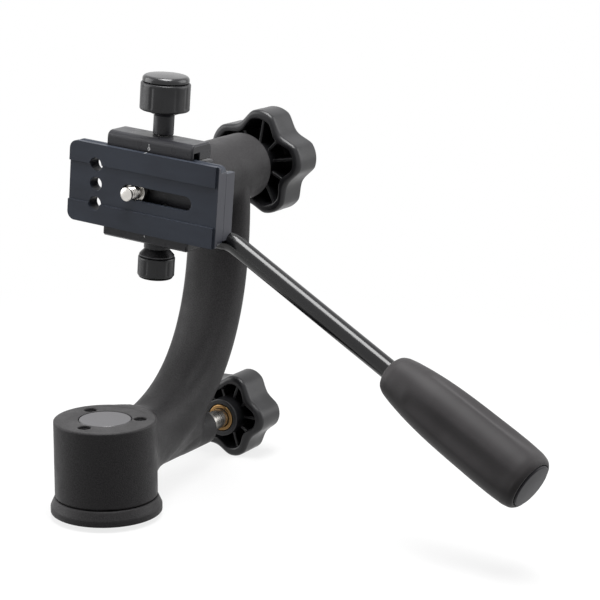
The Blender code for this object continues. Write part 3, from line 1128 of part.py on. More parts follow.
def build_plate(finish, head):
    """The dovetail plate with its round corners, sunk middle band, slot and holes."""
    shape = extrude_along_y(plate_outline(), PLATE_RIGHT, PLATE_LEFT)
    plate = from_bmesh("lens_plate", shape, finish["plate"], head)
    front, back = PLATE_FRONT - OVERRUN, PLATE_BACK + OVERRUN
    low, high = PLATE_RIGHT + PLATE_CORNER, PLATE_LEFT - PLATE_CORNER
    rise = PLATE_HALF - PLATE_CORNER
    quarter = math.pi / 2
    outline = []
    for turn, centre in enumerate(((high, rise), (low, rise), (low, -rise), (high, -rise))):
        start = turn * quarter
        outline += round_corner(centre, PLATE_CORNER, start, start + quarter, PLATE_CORNER_STEPS)
    combine(plate, cutter("plate_corners", along_x(outline, front, back), head), "INTERSECT")
    band = PLATE_HALF - PLATE_BAND
    recess = PLATE_FRONT + PLATE_RECESS_DEPTH
    sunk = box((front, PLATE_RIGHT - OVERRUN, -band), (recess, PLATE_LEFT + OVERRUN, band))
    cut(plate, cutter("plate_band", sunk, head))
    slot = stadium(SLOT_RIGHT, SLOT_LEFT, SLOT_HALF_WIDTH, SLOT_Z)
    cut(plate, cutter("plate_slot", along_x(slot, front, back), head))
    margin = CHANNEL_HALF_WIDTH - SLOT_HALF_WIDTH
    channel = stadium(SLOT_RIGHT - margin, SLOT_LEFT + margin, CHANNEL_HALF_WIDTH, SLOT_Z)
    cut(plate, cutter("plate_channel", along_x(channel, PLATE_BACK - CHANNEL_DEPTH, back), head))
    for number in range(PLATE_HOLES):
        z = (number - (PLATE_HOLES - 1) / 2) * PLATE_HOLE_PITCH
        hole = laid(turned(rod_profile(PLATE_HOLE_RADIUS, front, back), SMALL_SIDES))
        cut(plate, cutter(f"plate_hole_{number + 1}", hole, head, (0.0, PLATE_HOLE_Y, z)))


def build_camera_screw(finish, head):
    """The screw that holds a lens foot or camera, free to slide along the plate's slot."""
    place = (0.0, CAMERA_SCREW_Y, SLOT_Z)
    washer_low = PLATE_BACK - CHANNEL_DEPTH + GAP
    washer_high = washer_low + CAMERA_WASHER_THICKNESS
    washer = tube_profile(CAMERA_WASHER_RADIUS, CAMERA_SCREW_RADIUS + GAP, washer_low, washer_high)
    from_bmesh("camera_screw_washer", laid(turned(washer, SMALL_SIDES)), finish["steel"], head, place)
    tip = PLATE_FRONT - CAMERA_SCREW_REACH
    head_low = washer_high + GAP
    head_high = PLATE_BACK - GAP
    profile = [(0.0, tip), (CAMERA_SCREW_RADIUS - CAMERA_SCREW_EDGE, tip),
               (CAMERA_SCREW_RADIUS, tip + CAMERA_SCREW_EDGE), (CAMERA_SCREW_RADIUS, head_low),
               (CAMERA_HEAD_RADIUS, head_low), (CAMERA_HEAD_RADIUS, head_high), (0.0, head_high)]
    screw = from_bmesh("camera_screw", laid(turned(profile, SMALL_SIDES)), finish["steel"], head, place)
    slot_half = CAMERA_HEAD_SLOT / 2
    reach = CAMERA_HEAD_RADIUS + OVERRUN
    groove_low = head_high - CAMERA_HEAD_SLOT_DEPTH
    groove = box((-slot_half, -reach, groove_low), (slot_half, reach, head_high + OVERRUN))
    cut(screw, cutter("camera_screw_slot", laid(groove), head, place))


# Handle

def handle_path():
    """The rod's centre line from inside its bore to the end of the grip, in the head's frame."""
    side = Vector((-math.sin(ROD_ROLL), 0.0, -math.cos(ROD_ROLL)))
    back = Vector((0.0, -1.0, 0.0))
    bend_start = Vector((SCREW_AXIS_X, ROD_BEND_Y, ROD_Z))
    points = [Vector((SCREW_AXIS_X, ROD_INNER_END, ROD_Z)), bend_start]
    for i in range(1, ROD_BEND_STEPS + 1):
        angle = ROD_BEND * i / ROD_BEND_STEPS
        points.append(bend_start + back * (ROD_BEND_RADIUS * math.sin(angle))
                      + side * (ROD_BEND_RADIUS * (1 - math.cos(angle))))
    ahead = back * math.cos(ROD_BEND) + side * math.sin(ROD_BEND)
    return points, ahead


def flute_fade(share):
    """How deep the grip's flutes are at a share of its length: none at their ends, full in the middle."""
    first, last = GRIP_FLUTE_SPAN_SHARES
    if share <= first or share >= last:
        return 0.0
    return math.sqrt(math.sin(math.pi * (share - first) / (last - first)))


def grip_shape():
    """The grip's swelling outline, with shallow flutes along its sides."""
    rings = []
    for share, radius_share in GRIP_SHARES:
        depth = GRIP_FLUTE_DEPTH * flute_fade(share)
        ring = []
        for i, (x, y) in enumerate(on_circle(GRIP_SIDES, 1.0)):
            hollow = max(0.0, math.cos(2 * math.pi * GRIP_FLUTES * i / GRIP_SIDES)) ** 2
            radius = GRIP_RADIUS * radius_share - depth * hollow
            ring.append((radius * x, radius * y, GRIP_LENGTH * share))
        rings.append(ring)
    return loft(rings)


def build_handle(finish, head):
    """The bent rod, the grip pushed over its end and the cap that closes the grip."""
    points, ahead = handle_path()
    grip_start = points[-1] + ahead * ROD_STRAIGHT
    grip_turn = ahead.to_track_quat("Z", "Y").to_euler()
    cap_seat = GRIP_LENGTH - GRIP_CAP_SINK
    rod_end = cap_seat - GRIP_CAP_THICKNESS
    origin = points[0]
    path = [point - origin for point in points] + [grip_start + ahead * (rod_end - GAP) - origin]
    rod = tube_curve("handle_rod", path, ROD_RADIUS, ROD_RESOLUTION)
    add_object("handle_rod", rod, finish["rod"], head, origin, (0.0, 0.0, 0.0))

    grip = from_bmesh("handle_grip", grip_shape(), finish["rubber"], head, grip_start, grip_turn)
    end_radius = GRIP_RADIUS * GRIP_SHARES[-1][1]
    cap_radius = end_radius - GRIP_CAP_THICKNESS
    bore = [(0.0, -OVERRUN), (ROD_RADIUS + GAP, -OVERRUN), (ROD_RADIUS + GAP, rod_end), (0.0, rod_end)]
    cut(grip, cutter("grip_bore", turned(bore, SMALL_SIDES), head, grip_start, grip_turn))
    seat = rod_profile(cap_radius + GAP, cap_seat, GRIP_LENGTH + OVERRUN)
    cut(grip, cutter("grip_cap_seat", turned(seat, BORE_SIDES), head, grip_start, grip_turn))
    cap = dome_profile(cap_radius, cap_seat + GAP, GRIP_LENGTH + GRIP_CAP_THICKNESS, GAP)
    from_bmesh("handle_end_cap", turned(cap, BORE_SIDES), finish["rubber"], head, grip_start, grip_turn)


def build():
    clear_scene()
    finish = make_finishes()
    pan_axis = empty("pan_axis", (0.0, 0.0, 0.0))
    head = empty("tilt_axis", (0.0, 0.0, TILT_AXIS_Z), (TILT_REST, 0.0, 0.0), pan_axis)
    flange = build_base(finish)
    spindle = build_spindle(finish)
    build_flange_screws(finish, flange, spindle)
    arm = build_casting(finish, pan_axis)
    build_carrier(finish, pan_axis, arm)
    build_pan_bearings(finish, pan_axis)
    build_top_disc(finish, pan_axis)
    build_tilt_housing(finish, pan_axis, arm)
    build_pan_lock(finish, pan_axis)
    hub = build_tilt_hub(finish, head)
    build_tilt_lock(finish, head)
    body = build_clamp_body(finish, head)
    build_hub_screws(finish, head, body, hub)
    jaw = build_jaw(finish, head)
    build_guide_pins(finish, head, jaw)
    build_clamp_knob(finish, head)
    build_handle_lock(finish, head)
    build_plate(finish, head)
    build_camera_screw(finish, head)
    build_handle(finish, head)


build()
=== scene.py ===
# %% [markdown]
# # Gimbal tripod head
# A cast arm turns on a flanged base and carries a clamp that tilts about the arm's upper end.
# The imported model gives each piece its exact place. This script dresses it: finer meshes for the
# pieces that the eye rests on, and a finish for every surface, made from procedural patterns.

import math

import bmesh
import bpy
import numpy as np
from mathutils import Matrix, Vector


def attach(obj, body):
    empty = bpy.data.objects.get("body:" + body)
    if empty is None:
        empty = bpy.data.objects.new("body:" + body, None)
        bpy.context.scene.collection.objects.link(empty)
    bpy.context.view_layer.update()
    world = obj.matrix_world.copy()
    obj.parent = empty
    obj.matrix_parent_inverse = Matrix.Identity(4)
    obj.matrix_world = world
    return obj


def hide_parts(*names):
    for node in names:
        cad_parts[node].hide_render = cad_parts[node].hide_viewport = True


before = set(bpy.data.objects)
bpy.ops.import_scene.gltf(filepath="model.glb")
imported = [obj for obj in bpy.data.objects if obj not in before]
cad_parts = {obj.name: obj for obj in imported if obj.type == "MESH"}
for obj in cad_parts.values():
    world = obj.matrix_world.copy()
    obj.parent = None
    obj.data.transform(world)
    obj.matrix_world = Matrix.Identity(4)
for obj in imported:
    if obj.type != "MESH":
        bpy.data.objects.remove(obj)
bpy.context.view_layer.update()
MM = 0.001

# %% [markdown]
# ## Places
# The clamp, its knobs, the plate and the handle are laid out round the tilt axis, and lean with the
# clamp. Sizes are in millimetres unless they carry MM, which makes them metres.

# %% Places that several pieces share
TILT_DEGREES = 4.4
TILT = math.radians(TILT_DEGREES)
TILT_AXIS_Z = 142.82 * MM
PAN_LOCK_Z = 18.5 * MM
HEAD = Matrix.Translation((0.0, 0.0, TILT_AXIS_Z)) @ Matrix.Rotation(TILT, 4, "X")
NEAR_END, FAR_END = -40.2, 41.5      # the lens plate's ends
SCREW_AXIS_X = 47.3                  # of the clamp's screw, the handle's lock and the rod
ROD_Z = -18.104

# %% [markdown]
# ## Colours and nodes
# Colours are written as they look on a screen. A shader works with linear light, so one function
# turns the written value into the linear one. A second adds a node, sets it and links it, and a
# third puts a new object in the scene.

# %% Colour and node helpers


def linear(code):
    """An sRGB colour such as #3a3b3c as linear RGBA."""
    shares = [int(code[i:i + 2], 16) / 255 for i in (1, 3, 5)]
    light = [share / 12.92 if share <= 0.04045 else ((share + 0.055) / 1.055) ** 2.4 for share in shares]
    return (*light, 1.0)


def add_node(tree, kind, settings=None, values=None, links=None):
    """Add a node: settings are its properties, values its inputs' numbers, links what feeds its inputs."""
    node = tree.nodes.new(kind)
    for name, value in (settings or {}).items():
        setattr(node, name, value)
    for socket, value in (values or {}).items():
        node.inputs[socket].default_value = value
    for socket, source in (links or {}).items():
        tree.links.new(source, node.inputs[socket])
    return node


def linked(name, data):
    """A new object with this data, in the scene."""
    made = bpy.data.objects.new(name, data)
    bpy.context.scene.collection.objects.link(made)
    return made


# %% [markdown]
# ## Camera
# The photograph was taken from the clamp's side, a little above the head, with a long lens. The
# camera's angles, distance and lens come from fitting the drawing's known points to the picture.

# %% Camera
VIEW_ANGLE = math.radians(-59.98)
VIEW_HEIGHT = math.radians(13.65)
VIEW_ROLL = math.radians(0.24)
VIEW_DISTANCE = 939.63 * MM
VIEW_TARGET = Vector((44.44, -76.91, 99.86)) * MM
LENS, SENSOR_WIDTH = 125.13, 36.0
VIEW_LIMIT = 20.0              # metres, past the floor's far edge

back = Vector((math.sin(VIEW_ANGLE) * math.cos(VIEW_HEIGHT), -math.cos(VIEW_ANGLE) * math.cos(VIEW_HEIGHT),
               math.sin(VIEW_HEIGHT)))
level = Vector((math.cos(VIEW_ANGLE), math.sin(VIEW_ANGLE), 0.0))
upright = back.cross(level)
right = level * math.cos(VIEW_ROLL) + upright * math.sin(VIEW_ROLL)
up = upright * math.cos(VIEW_ROLL) - level * math.sin(VIEW_ROLL)

camera = linked("camera", bpy.data.cameras.new("camera"))
camera.data.lens = LENS
camera.data.sensor_width = SENSOR_WIDTH
camera.data.clip_end = VIEW_LIMIT
place = VIEW_TARGET + back * VIEW_DISTANCE
camera.matrix_world = Matrix((right, up, back)).transposed().to_4x4()
camera.matrix_world.translation = place
bpy.context.scene.camera = camera
bpy.context.scene.view_settings.view_transform = "Standard"
print("camera at", [round(value, 4) for value in place])

# %% [markdown]
# ## Light
# The picture has broad softboxes overhead and to both sides, and little light from the camera's
# side: upright round pieces are lighter at their edges than in the middle. Area lamps are the
# plain way to make that light, each turned to face the head.

# %% Lamps
LAMPS = (   # name, place, width and height in metres, power in watts
    ("overhead", VIEW_TARGET + Vector((-0.05, -0.05, 1.10)), (0.50, 0.95), 22.0),
    ("left", VIEW_TARGET - level * 1.05 - back * 0.10 + Vector((0.0, 0.0, 0.42)), (0.9, 1.0), 9.0),
    ("right", VIEW_TARGET + level * 1.05 - back * 0.15 + Vector((0.0, 0.0, 0.45)), (0.9, 1.0), 8.0),
)
for name, place, size, power in LAMPS:
    lamp = linked(name + "_softbox", bpy.data.lights.new(name + "_softbox", "AREA"))
    lamp.data.shape = "RECTANGLE"
    lamp.data.size, lamp.data.size_y = size
    lamp.data.energy = power
    lamp.location = place
    lamp.rotation_euler = (place - VIEW_TARGET).to_track_quat("Z", "Y").to_euler()
    print(lamp.name, power, "W")

# %% [markdown]
# ## Background
# The background is white. The camera, and anything that mirrors, sees white in every direction,
# while the light that the surroundings throw on the object stays low. The floor is mostly that
# white, with enough of a plain pale surface mixed in to keep the shadow under the object.

# %% World and floor
WHITE = linear("#ffffff")
WORLD_LIGHT = 0.05             # strength of what the surroundings throw on the object
FLOOR_WHITE_SHARE = 0.80       # of plain white in what is seen of the floor near the object
SHADOW_REACH = (0.20, 0.45)    # metres from the object over which that share rises to all
FLOOR_SIZE = 12.0
FLOOR_LEVEL = -2.45 * MM       # just under the pan knob's lowest lobe, which hangs below the base


def seen_directly(tree):
    """1 for a ray from the camera, a mirror or glass, and 0 for light that falls on the object."""
    path = add_node(tree, "ShaderNodeLightPath")
    mirrored = add_node(tree, "ShaderNodeMath", {"operation": "MAXIMUM"},
                        links={0: path.outputs["Is Glossy Ray"], 1: path.outputs["Is Transmission Ray"]})
    seen = add_node(tree, "ShaderNodeMath", {"operation": "MAXIMUM"},
                    links={0: path.outputs["Is Camera Ray"], 1: mirrored.outputs[0]})
    return seen.outputs[0]


world = bpy.data.worlds.new("white studio")
world.use_nodes = True
bpy.context.scene.world = world
world.node_tree.nodes.clear()
around = add_node(world.node_tree, "ShaderNodeBackground", values={"Color": WHITE, "Strength": WORLD_LIGHT})
white = add_node(world.node_tree, "ShaderNodeBackground", values={"Color": WHITE, "Strength": 1.0})
either = add_node(world.node_tree, "ShaderNodeMixShader",
                  links={0: seen_directly(world.node_tree), 1: around.outputs[0], 2: white.outputs[0]})
add_node(world.node_tree, "ShaderNodeOutputWorld", links={"Surface": either.outputs[0]})

floor_finish = bpy.data.materials.new("matt white paper floor")
floor_finish.use_nodes = True
tree = floor_finish.node_tree
tree.nodes.clear()
seen = seen_directly(tree)
bounce = add_node(tree, "ShaderNodeBsdfDiffuse", values={"Color": linear("#3c3c3c")})
paper = add_node(tree, "ShaderNodeBsdfDiffuse", values={"Color": linear("#f0f0f0")})
glow = add_node(tree, "ShaderNodeEmission", values={"Color": WHITE, "Strength": 1.0})
spot = add_node(tree, "ShaderNodeTexCoord")
reach = add_node(tree, "ShaderNodeVectorMath", {"operation": "LENGTH"}, links={0: spot.outputs["Object"]})
fade = add_node(tree, "ShaderNodeMapRange", {"interpolation_type": "SMOOTHSTEP"},
                {"From Min": SHADOW_REACH[0], "From Max": SHADOW_REACH[1],
                 "To Min": FLOOR_WHITE_SHARE, "To Max": 1.0}, {"Value": reach.outputs["Value"]})
shown = add_node(tree, "ShaderNodeMixShader",
                 links={0: fade.outputs[0], 1: paper.outputs[0], 2: glow.outputs[0]})
mixed = add_node(tree, "ShaderNodeMixShader", links={0: seen, 1: bounce.outputs[0], 2: shown.outputs[0]})
add_node(tree, "ShaderNodeOutputMaterial", links={"Surface": mixed.outputs[0]})

half = FLOOR_SIZE / 2
floor_mesh = bpy.data.meshes.new("floor")
floor_mesh.from_pydata([(-half, -half, 0.0), (half, -half, 0.0), (half, half, 0.0), (-half, half, 0.0)],
                       [], [(0, 1, 2, 3)])
floor_mesh.materials.append(floor_finish)
floor = linked("floor", floor_mesh)
floor.location.z = FLOOR_LEVEL

# %% [markdown]
# ## Finishes
# Each finish starts from what the real surface is and how it was made. Patterns are laid out in
# Object coordinates, so they stay on the piece, and every scale is a real size in millimetres.

# %% Helpers for finishes


def new_finish(name, **values):
    """A material of one Principled shader, with the numbers and colours that hold all over it."""
    made = bpy.data.materials.new(name)
    made.use_nodes = True
    shader = made.node_tree.nodes["Principled BSDF"]
    for socket, value in values.items():
        shader.inputs[socket.replace("_", " ")].default_value = value
    return made, made.node_tree, shader


def grain(tree, size, stretch=(1.0, 1.0, 1.0), detail=2.0, turn=0.0):
    """Noise with specks of this size in metres, drawn out along an axis by its stretch."""
    place = add_node(tree, "ShaderNodeTexCoord")
    scale = tuple(1.0 / (size * factor) for factor in stretch)
    laid_out = add_node(tree, "ShaderNodeMapping", values={"Scale": scale, "Rotation": (turn, 0.0, 0.0)},
                        links={"Vector": place.outputs["Object"]})
    noise = add_node(tree, "ShaderNodeTexNoise", values={"Scale": 1.0, "Detail": detail},
                     links={"Vector": laid_out.outputs[0]})
    return noise.outputs["Fac"]


def spread(tree, pattern, low, high):
    """Turn a pattern into a number between low and high; noise keeps mostly between 0.35 and 0.65."""
    made = add_node(tree, "ShaderNodeMapRange",
                    values={"From Min": 0.35, "From Max": 0.65, "To Min": low, "To Max": high},
                    links={"Value": pattern})
    return made.outputs[0]


def tint(tree, pattern, dark, light):
    """Colour between two sRGB colours, by a pattern."""
    made = add_node(tree, "ShaderNodeMix", {"data_type": "RGBA"}, {6: linear(dark), 7: linear(light)},
                    {0: spread(tree, pattern, 0.0, 1.0)})
    return made.outputs[2]


def colour_by(tree, shader, pattern, dark, light):
    """Let a pattern move the colour between two sRGB colours."""
    tree.links.new(tint(tree, pattern, dark, light), shader.inputs["Base Color"])


def gloss_by(tree, shader, pattern, low, high):
    """Let a pattern move the roughness between two values."""
    tree.links.new(spread(tree, pattern, low, high), shader.inputs["Roughness"])


def roughen(tree, shader, pattern, depth, rounding=0.0):
    """Bumps of this depth in metres; rounding is the radius that softens the piece's own edges."""
    links = {"Height": pattern}
    if rounding > 0.0:
        edge = add_node(tree, "ShaderNodeBevel", {"samples": 6}, {"Radius": rounding})
        links["Normal"] = edge.outputs[0]
    bump = add_node(tree, "ShaderNodeBump", values={"Strength": 1.0, "Distance": depth}, links=links)
    tree.links.new(bump.outputs[0], shader.inputs["Normal"])


# %% [markdown]
# ### Powder coat
# The casting is sand-textured black powder coat over aluminium: baked plastic powder with a fine
# orange peel. Grains about half a millimetre wide break the highlights up, and show as the soft
# speckle of the photograph. Its gloss is low, and it is warm grey rather than black.

# %% Powder coat
coat, tree, shader = new_finish("black powder coat on cast aluminium", Roughness=0.44,
                                Specular_IOR_Level=0.13)
speckle = grain(tree, 0.45 * MM, detail=1.0)
patches = grain(tree, 9.0 * MM)
colour_by(tree, shader, speckle, "#292829", "#373637")
gloss_by(tree, shader, patches, 0.40, 0.52)
roughen(tree, shader, speckle, 0.10 * MM, 1.2 * MM)

# %% [markdown]
# ### Machined and anodised aluminium
# The clamp, its jaw, the hub and the knob's stem are milled and turned from bar and anodised black.
# The cutter leaves fine lines along the piece, and the dye leaves a satin black.

# %% Anodised aluminium
machined, tree, shader = new_finish("black anodised aluminium, milled", Roughness=0.30,
                                    Specular_IOR_Level=0.26)
lines = grain(tree, 0.30 * MM, (1.0, 40.0, 1.0), turn=-TILT)
patches = grain(tree, 6.0 * MM)
colour_by(tree, shader, lines, "#28282b", "#323236")
gloss_by(tree, shader, patches, 0.26, 0.36)
roughen(tree, shader, lines, 0.010 * MM, 0.35 * MM)

# %% [markdown]
# The lens plate is an extrusion: its long faces keep the die's lines along its length. Its anodising
# is cooler, a blue black, and duller than the clamp's. Its near end is painted a lighter grey, as
# painted light from the side lamp on that face.

# %% Anodised extrusion
PAINTED_LIGHT_END = NEAR_END * MM + TILT_AXIS_Z * math.sin(TILT)     # the plate's near end, along the plate, where lighter grey is painted for light
PAINTED_LIGHT_FADE = (0.18 * MM, 0.12 * MM)     # the painted light fades in over this depth
extruded, tree, shader = new_finish("blue black anodised aluminium, extruded", Roughness=0.38,
                                    Specular_IOR_Level=0.22)
lines = grain(tree, 0.35 * MM, (1.0, 60.0, 1.0), turn=-TILT)
patches = grain(tree, 12.0 * MM, (1.0, 3.0, 1.0), turn=-TILT)
spot = add_node(tree, "ShaderNodeTexCoord")
level_out = add_node(tree, "ShaderNodeMapping", values={"Rotation": (-TILT, 0.0, 0.0)},
                     links={"Vector": spot.outputs["Object"]})
along = add_node(tree, "ShaderNodeSeparateXYZ", links={0: level_out.outputs[0]})
# Painted light: faces at the near end get a lighter grey, #53545b, standing for the side lamp's light on
# them.
painted_light_share = add_node(tree, "ShaderNodeMapRange",
                values={"From Min": PAINTED_LIGHT_END + PAINTED_LIGHT_FADE[0], "From Max": PAINTED_LIGHT_END + PAINTED_LIGHT_FADE[1],
                        "To Min": 0.0, "To Max": 1.0}, links={"Value": along.outputs["Y"]})
shade = add_node(tree, "ShaderNodeMix", {"data_type": "RGBA"}, {7: linear("#53545b")},
                 {0: painted_light_share.outputs[0], 6: tint(tree, patches, "#2c3039", "#343943")})
tree.links.new(shade.outputs[2], shader.inputs["Base Color"])
gloss_by(tree, shader, lines, 0.38, 0.47)
roughen(tree, shader, lines, 0.008 * MM, 0.25 * MM)

# %% [markdown]
# The disc in the barrel's top is turned and anodised: faint rings run round its middle.

# %% Turned disc
disc_finish, tree, shader = new_finish("grey anodised aluminium, turned", Roughness=0.34)
spot = add_node(tree, "ShaderNodeTexCoord")
flat = add_node(tree, "ShaderNodeMapping", values={"Scale": (1.0, 1.0, 0.0)},
                links={"Vector": spot.outputs["Object"]})
reach = add_node(tree, "ShaderNodeVectorMath", {"operation": "LENGTH"}, links={0: flat.outputs[0]})
rings = add_node(tree, "ShaderNodeTexNoise", {"noise_dimensions": "1D"},
                 {"Scale": 1 / (0.4 * MM), "Detail": 2.0}, {"W": reach.outputs["Value"]})
colour_by(tree, shader, rings.outputs["Fac"], "#3e3d40", "#48474a")
roughen(tree, shader, rings.outputs["Fac"], 0.01 * MM)

# %% [markdown]
# ### Steel and brass
# The studs, axle and pins are turned from bright steel. The tool leaves fine rings, which stretch
# the highlights across the bar: 0.7 mm apart on the steel, and a quarter of a millimetre on the
# brass of the knobs' inserts. The small screws are steel with a black oxide skin.

# %% Steel and brass
steel, tree, shader = new_finish("bright steel, turned", Metallic=1.0, Roughness=0.26)
marks = grain(tree, 0.70 * MM, (1.0, 60.0, 60.0))
colour_by(tree, shader, marks, "#bcb9b4", "#cecbc6")
gloss_by(tree, shader, marks, 0.24, 0.30)
roughen(tree, shader, marks, 0.002 * MM, 0.20 * MM)

brass, tree, shader = new_finish("brass, turned", Metallic=1.0, Roughness=0.34)
marks = grain(tree, 0.25 * MM, (1.0, 60.0, 60.0))
colour_by(tree, shader, marks, "#6e5638", "#8a6c46")
roughen(tree, shader, marks, 0.008 * MM, 0.20 * MM)

oxide, tree, shader = new_finish("black oxide on steel", Metallic=0.8, Roughness=0.42)
mottle = grain(tree, 0.8 * MM)
colour_by(tree, shader, mottle, "#29292b", "#3a393b")
roughen(tree, shader, mottle, 0.010 * MM, 0.20 * MM)

# %% [markdown]
# ### Lacquered rod
# The handle's rod is steel tube in gloss black lacquer. It mirrors the softbox above it as one
# long white line, and the white floor as a dim grey one.

# %% Lacquered rod
lacquer, tree, shader = new_finish("gloss black lacquer on steel", Roughness=0.20, Specular_IOR_Level=0.40)
waves = grain(tree, 14.0 * MM, (1.0, 3.0, 1.0))
colour_by(tree, shader, waves, "#0c0c0e", "#111113")
gloss_by(tree, shader, waves, 0.17, 0.21)

# %% [markdown]
# ### Moulded plastic and rubber
# The star knobs and the round grips are black nylon with glass fibre: satin, with a fine spark
# erosion texture from the mould. The round grips' caps are glossier, from a polished mould. The
# pan handle's grip is a soft warm grey rubber with a dull skin, and the cap in its end is smoother.

# %% Plastic and rubber
plastic, tree, shader = new_finish("black glass-filled nylon, moulded", Roughness=0.32,
                                   Specular_IOR_Level=0.32)
texture = grain(tree, 0.30 * MM, detail=1.0)
flow = grain(tree, 8.0 * MM)
colour_by(tree, shader, flow, "#1d1d1f", "#252527")
gloss_by(tree, shader, flow, 0.30, 0.38)
roughen(tree, shader, texture, 0.020 * MM, 0.40 * MM)

glossy_plastic, tree, shader = new_finish("black nylon, moulded smooth", Roughness=0.20,
                                          Specular_IOR_Level=0.45)
flow = grain(tree, 5.0 * MM)
colour_by(tree, shader, flow, "#1e1e20", "#262628")
roughen(tree, shader, flow, 0.02 * MM, 0.3 * MM)

rubber, tree, shader = new_finish("dark grey rubber, moulded", Roughness=0.52, Specular_IOR_Level=0.16,
                                  Sheen_Weight=0.05, Sheen_Roughness=0.5)
texture = grain(tree, 0.35 * MM, detail=1.0)
flow = grain(tree, 15.0 * MM)
colour_by(tree, shader, flow, "#2f2d2e", "#363435")
roughen(tree, shader, texture, 0.025 * MM, 0.50 * MM)

cap_rubber, tree, shader = new_finish("dark grey plastic, moulded smooth", Roughness=0.40,
                                      Specular_IOR_Level=0.16)
flow = grain(tree, 6.0 * MM)
colour_by(tree, shader, flow, "#1d1c21", "#242328")
roughen(tree, shader, flow, 0.02 * MM, 0.30 * MM)

nylon, tree, shader = new_finish("black nylon washer, cut", Roughness=0.5)
texture = grain(tree, 0.4 * MM)
colour_by(tree, shader, texture, "#1c1c1e", "#262628")
roughen(tree, shader, texture, 0.015 * MM, 0.15 * MM)

paint, tree, shader = new_finish("white enamel in engraved marks", Roughness=0.5)
texture = grain(tree, 0.3 * MM)
colour_by(tree, shader, texture, "#dcdcdc", "#f0f0f0")

# %% [markdown]
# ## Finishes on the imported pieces
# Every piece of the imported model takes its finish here, by its slot in the record. Pieces that are
# rebuilt further on take the same finish, or one of their own where the table below names it.

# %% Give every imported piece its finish
FINISHES = {"cast": coat, "machined": machined, "plate": extruded, "steel": steel, "black_steel": oxide,
            "rod": lacquer, "brass": brass, "plastic": plastic, "rubber": rubber, "nylon": nylon}
OWN_FINISH = {"top_disc": disc_finish, "handle_end_cap": cap_rubber, "handle_lock_collar": oxide,
              "clamp_knob_cap": glossy_plastic, "handle_lock_cap": glossy_plastic}
BY_SLOT = {
    "cast": ("base_flange", "arm_casting"),
    "machined": ("bearing_carrier", "clamp_body", "tilt_hub", "upper_jaw", "clamp_knob_stem",
                 "handle_lock_collar", "top_disc"),
    "plate": ("lens_plate",),
    "rod": ("handle_rod",),
    "brass": ("pan_brake_pad", "pan_knob_insert", "tilt_knob_insert", "handle_lock_shoe"),
    "plastic": ("pan_lock_knob", "pan_knob_cap", "tilt_lock_knob", "tilt_knob_cap", "clamp_knob_grip",
                "clamp_knob_cap", "handle_lock_grip", "handle_lock_cap"),
    "rubber": ("handle_grip", "handle_end_cap"),
    "nylon": ("tilt_friction_washer",),
}
SLOT_OF = {node: slot for slot, nodes in BY_SLOT.items() for node in nodes}
for node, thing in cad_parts.items():
    if node.startswith(("flange_screw", "carrier_screw", "hub_screw")):
        SLOT_OF[node] = "black_steel"
    slot = SLOT_OF.setdefault(node, "steel")
    thing.data.materials.clear()
    thing.data.materials.append(OWN_FINISH.get(node, FINISHES[slot]))
print("finishes on", len(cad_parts), "packed pieces")

# %% [markdown]
# ## Meshes from profiles and rings
# Most of the head is turned on a lathe, so most new pieces are a profile spun about an axis. A
# corner of a real edge is never sharp: each corner of a profile carries the radius that rounds it.

# %% Mesh helpers
SHARP = math.radians(38.0)
ROUND_STEPS = 4         # straight pieces in a rounded corner
LAID = Matrix(((0, 0, 1, 0), (0, 1, 0, 0), (-1, 0, 0, 0), (0, 0, 0, 1)))   # a piece along Z, laid along +X


def rounded(corners):
    """Points of a profile, from corners of (radius, height, rounding) in millimetres."""
    points = []
    count = len(corners)
    for i, (x, y, rounding) in enumerate(corners):
        here = Vector((x, y)) * MM
        if rounding == 0.0:
            points.append(tuple(here))
            continue
        before = (Vector(corners[i - 1][:2]) * MM - here).normalized()
        after = (Vector(corners[(i + 1) % count][:2]) * MM - here).normalized()
        half_angle = before.angle(after) / 2
        centre = here + (before + after).normalized() * (rounding * MM / math.sin(half_angle))
        tangent = rounding * MM / math.tan(half_angle)
        start, end = here + before * tangent - centre, here + after * tangent - centre
        swing = start.angle(end)
        for k in range(ROUND_STEPS + 1):
            s = k / ROUND_STEPS
            arm = (start * math.sin((1 - s) * swing) + end * math.sin(s * swing)) / math.sin(swing)
            points.append(tuple(centre + arm))
    return points


def turned(profile, sides=96):
    """Spin a profile of (radius, height) about +Z; it closes into a ring, or on the axis."""
    shape = bmesh.new()
    points = [shape.verts.new((radius, 0.0, height)) for radius, height in profile]
    edges = [shape.edges.new(pair) for pair in zip(points, points[1:] + points[:1])
             if pair[0].co.x > 0.0 or pair[1].co.x > 0.0]
    bmesh.ops.spin(shape, geom=points + edges, axis=(0.0, 0.0, 1.0), cent=(0.0, 0.0, 0.0),
                   angle=2 * math.pi, steps=sides, use_merge=True)
    bmesh.ops.remove_doubles(shape, verts=shape.verts, dist=MM / 10000)
    return shape


def loft(rings):
    """Join rings of equal count into one closed skin, capped at both ends."""
    shape = bmesh.new()
    made = [[shape.verts.new(point) for point in ring] for ring in rings]
    count = len(rings[0])
    for low, high in zip(made, made[1:]):
        for i in range(count):
            j = (i + 1) % count
            shape.faces.new((low[i], low[j], high[j], high[i]))
    shape.faces.new(reversed(made[0]))
    shape.faces.new(made[-1])
    return shape


def on_ring(radius, angle, height):
    """A point in metres round +Z, from millimetres and radians."""
    return radius * MM * math.cos(angle), radius * MM * math.sin(angle), height * MM


def plain_ring(radius, height, sides=48):
    return [on_ring(radius, 2 * math.pi * k / sides, height) for k in range(sides)]


def plain_rings(sizes, sides=48):
    """Rings from pairs of radius and height."""
    return [plain_ring(radius, height, sides) for radius, height in sizes]


def prism(axis, outline, low, high):
    """A bar along an axis, 0 for X, whose outline gives the other two coordinates in millimetres."""
    return loft([[tuple(value * MM for value in (*point[:axis], level, *point[axis:])) for point in outline]
                 for level in (low, high)])


def mesh_from(shape, name):
    """A bmesh written to a new mesh, and freed."""
    mesh = bpy.data.meshes.new(name)
    shape.to_mesh(mesh)
    shape.free()
    return mesh


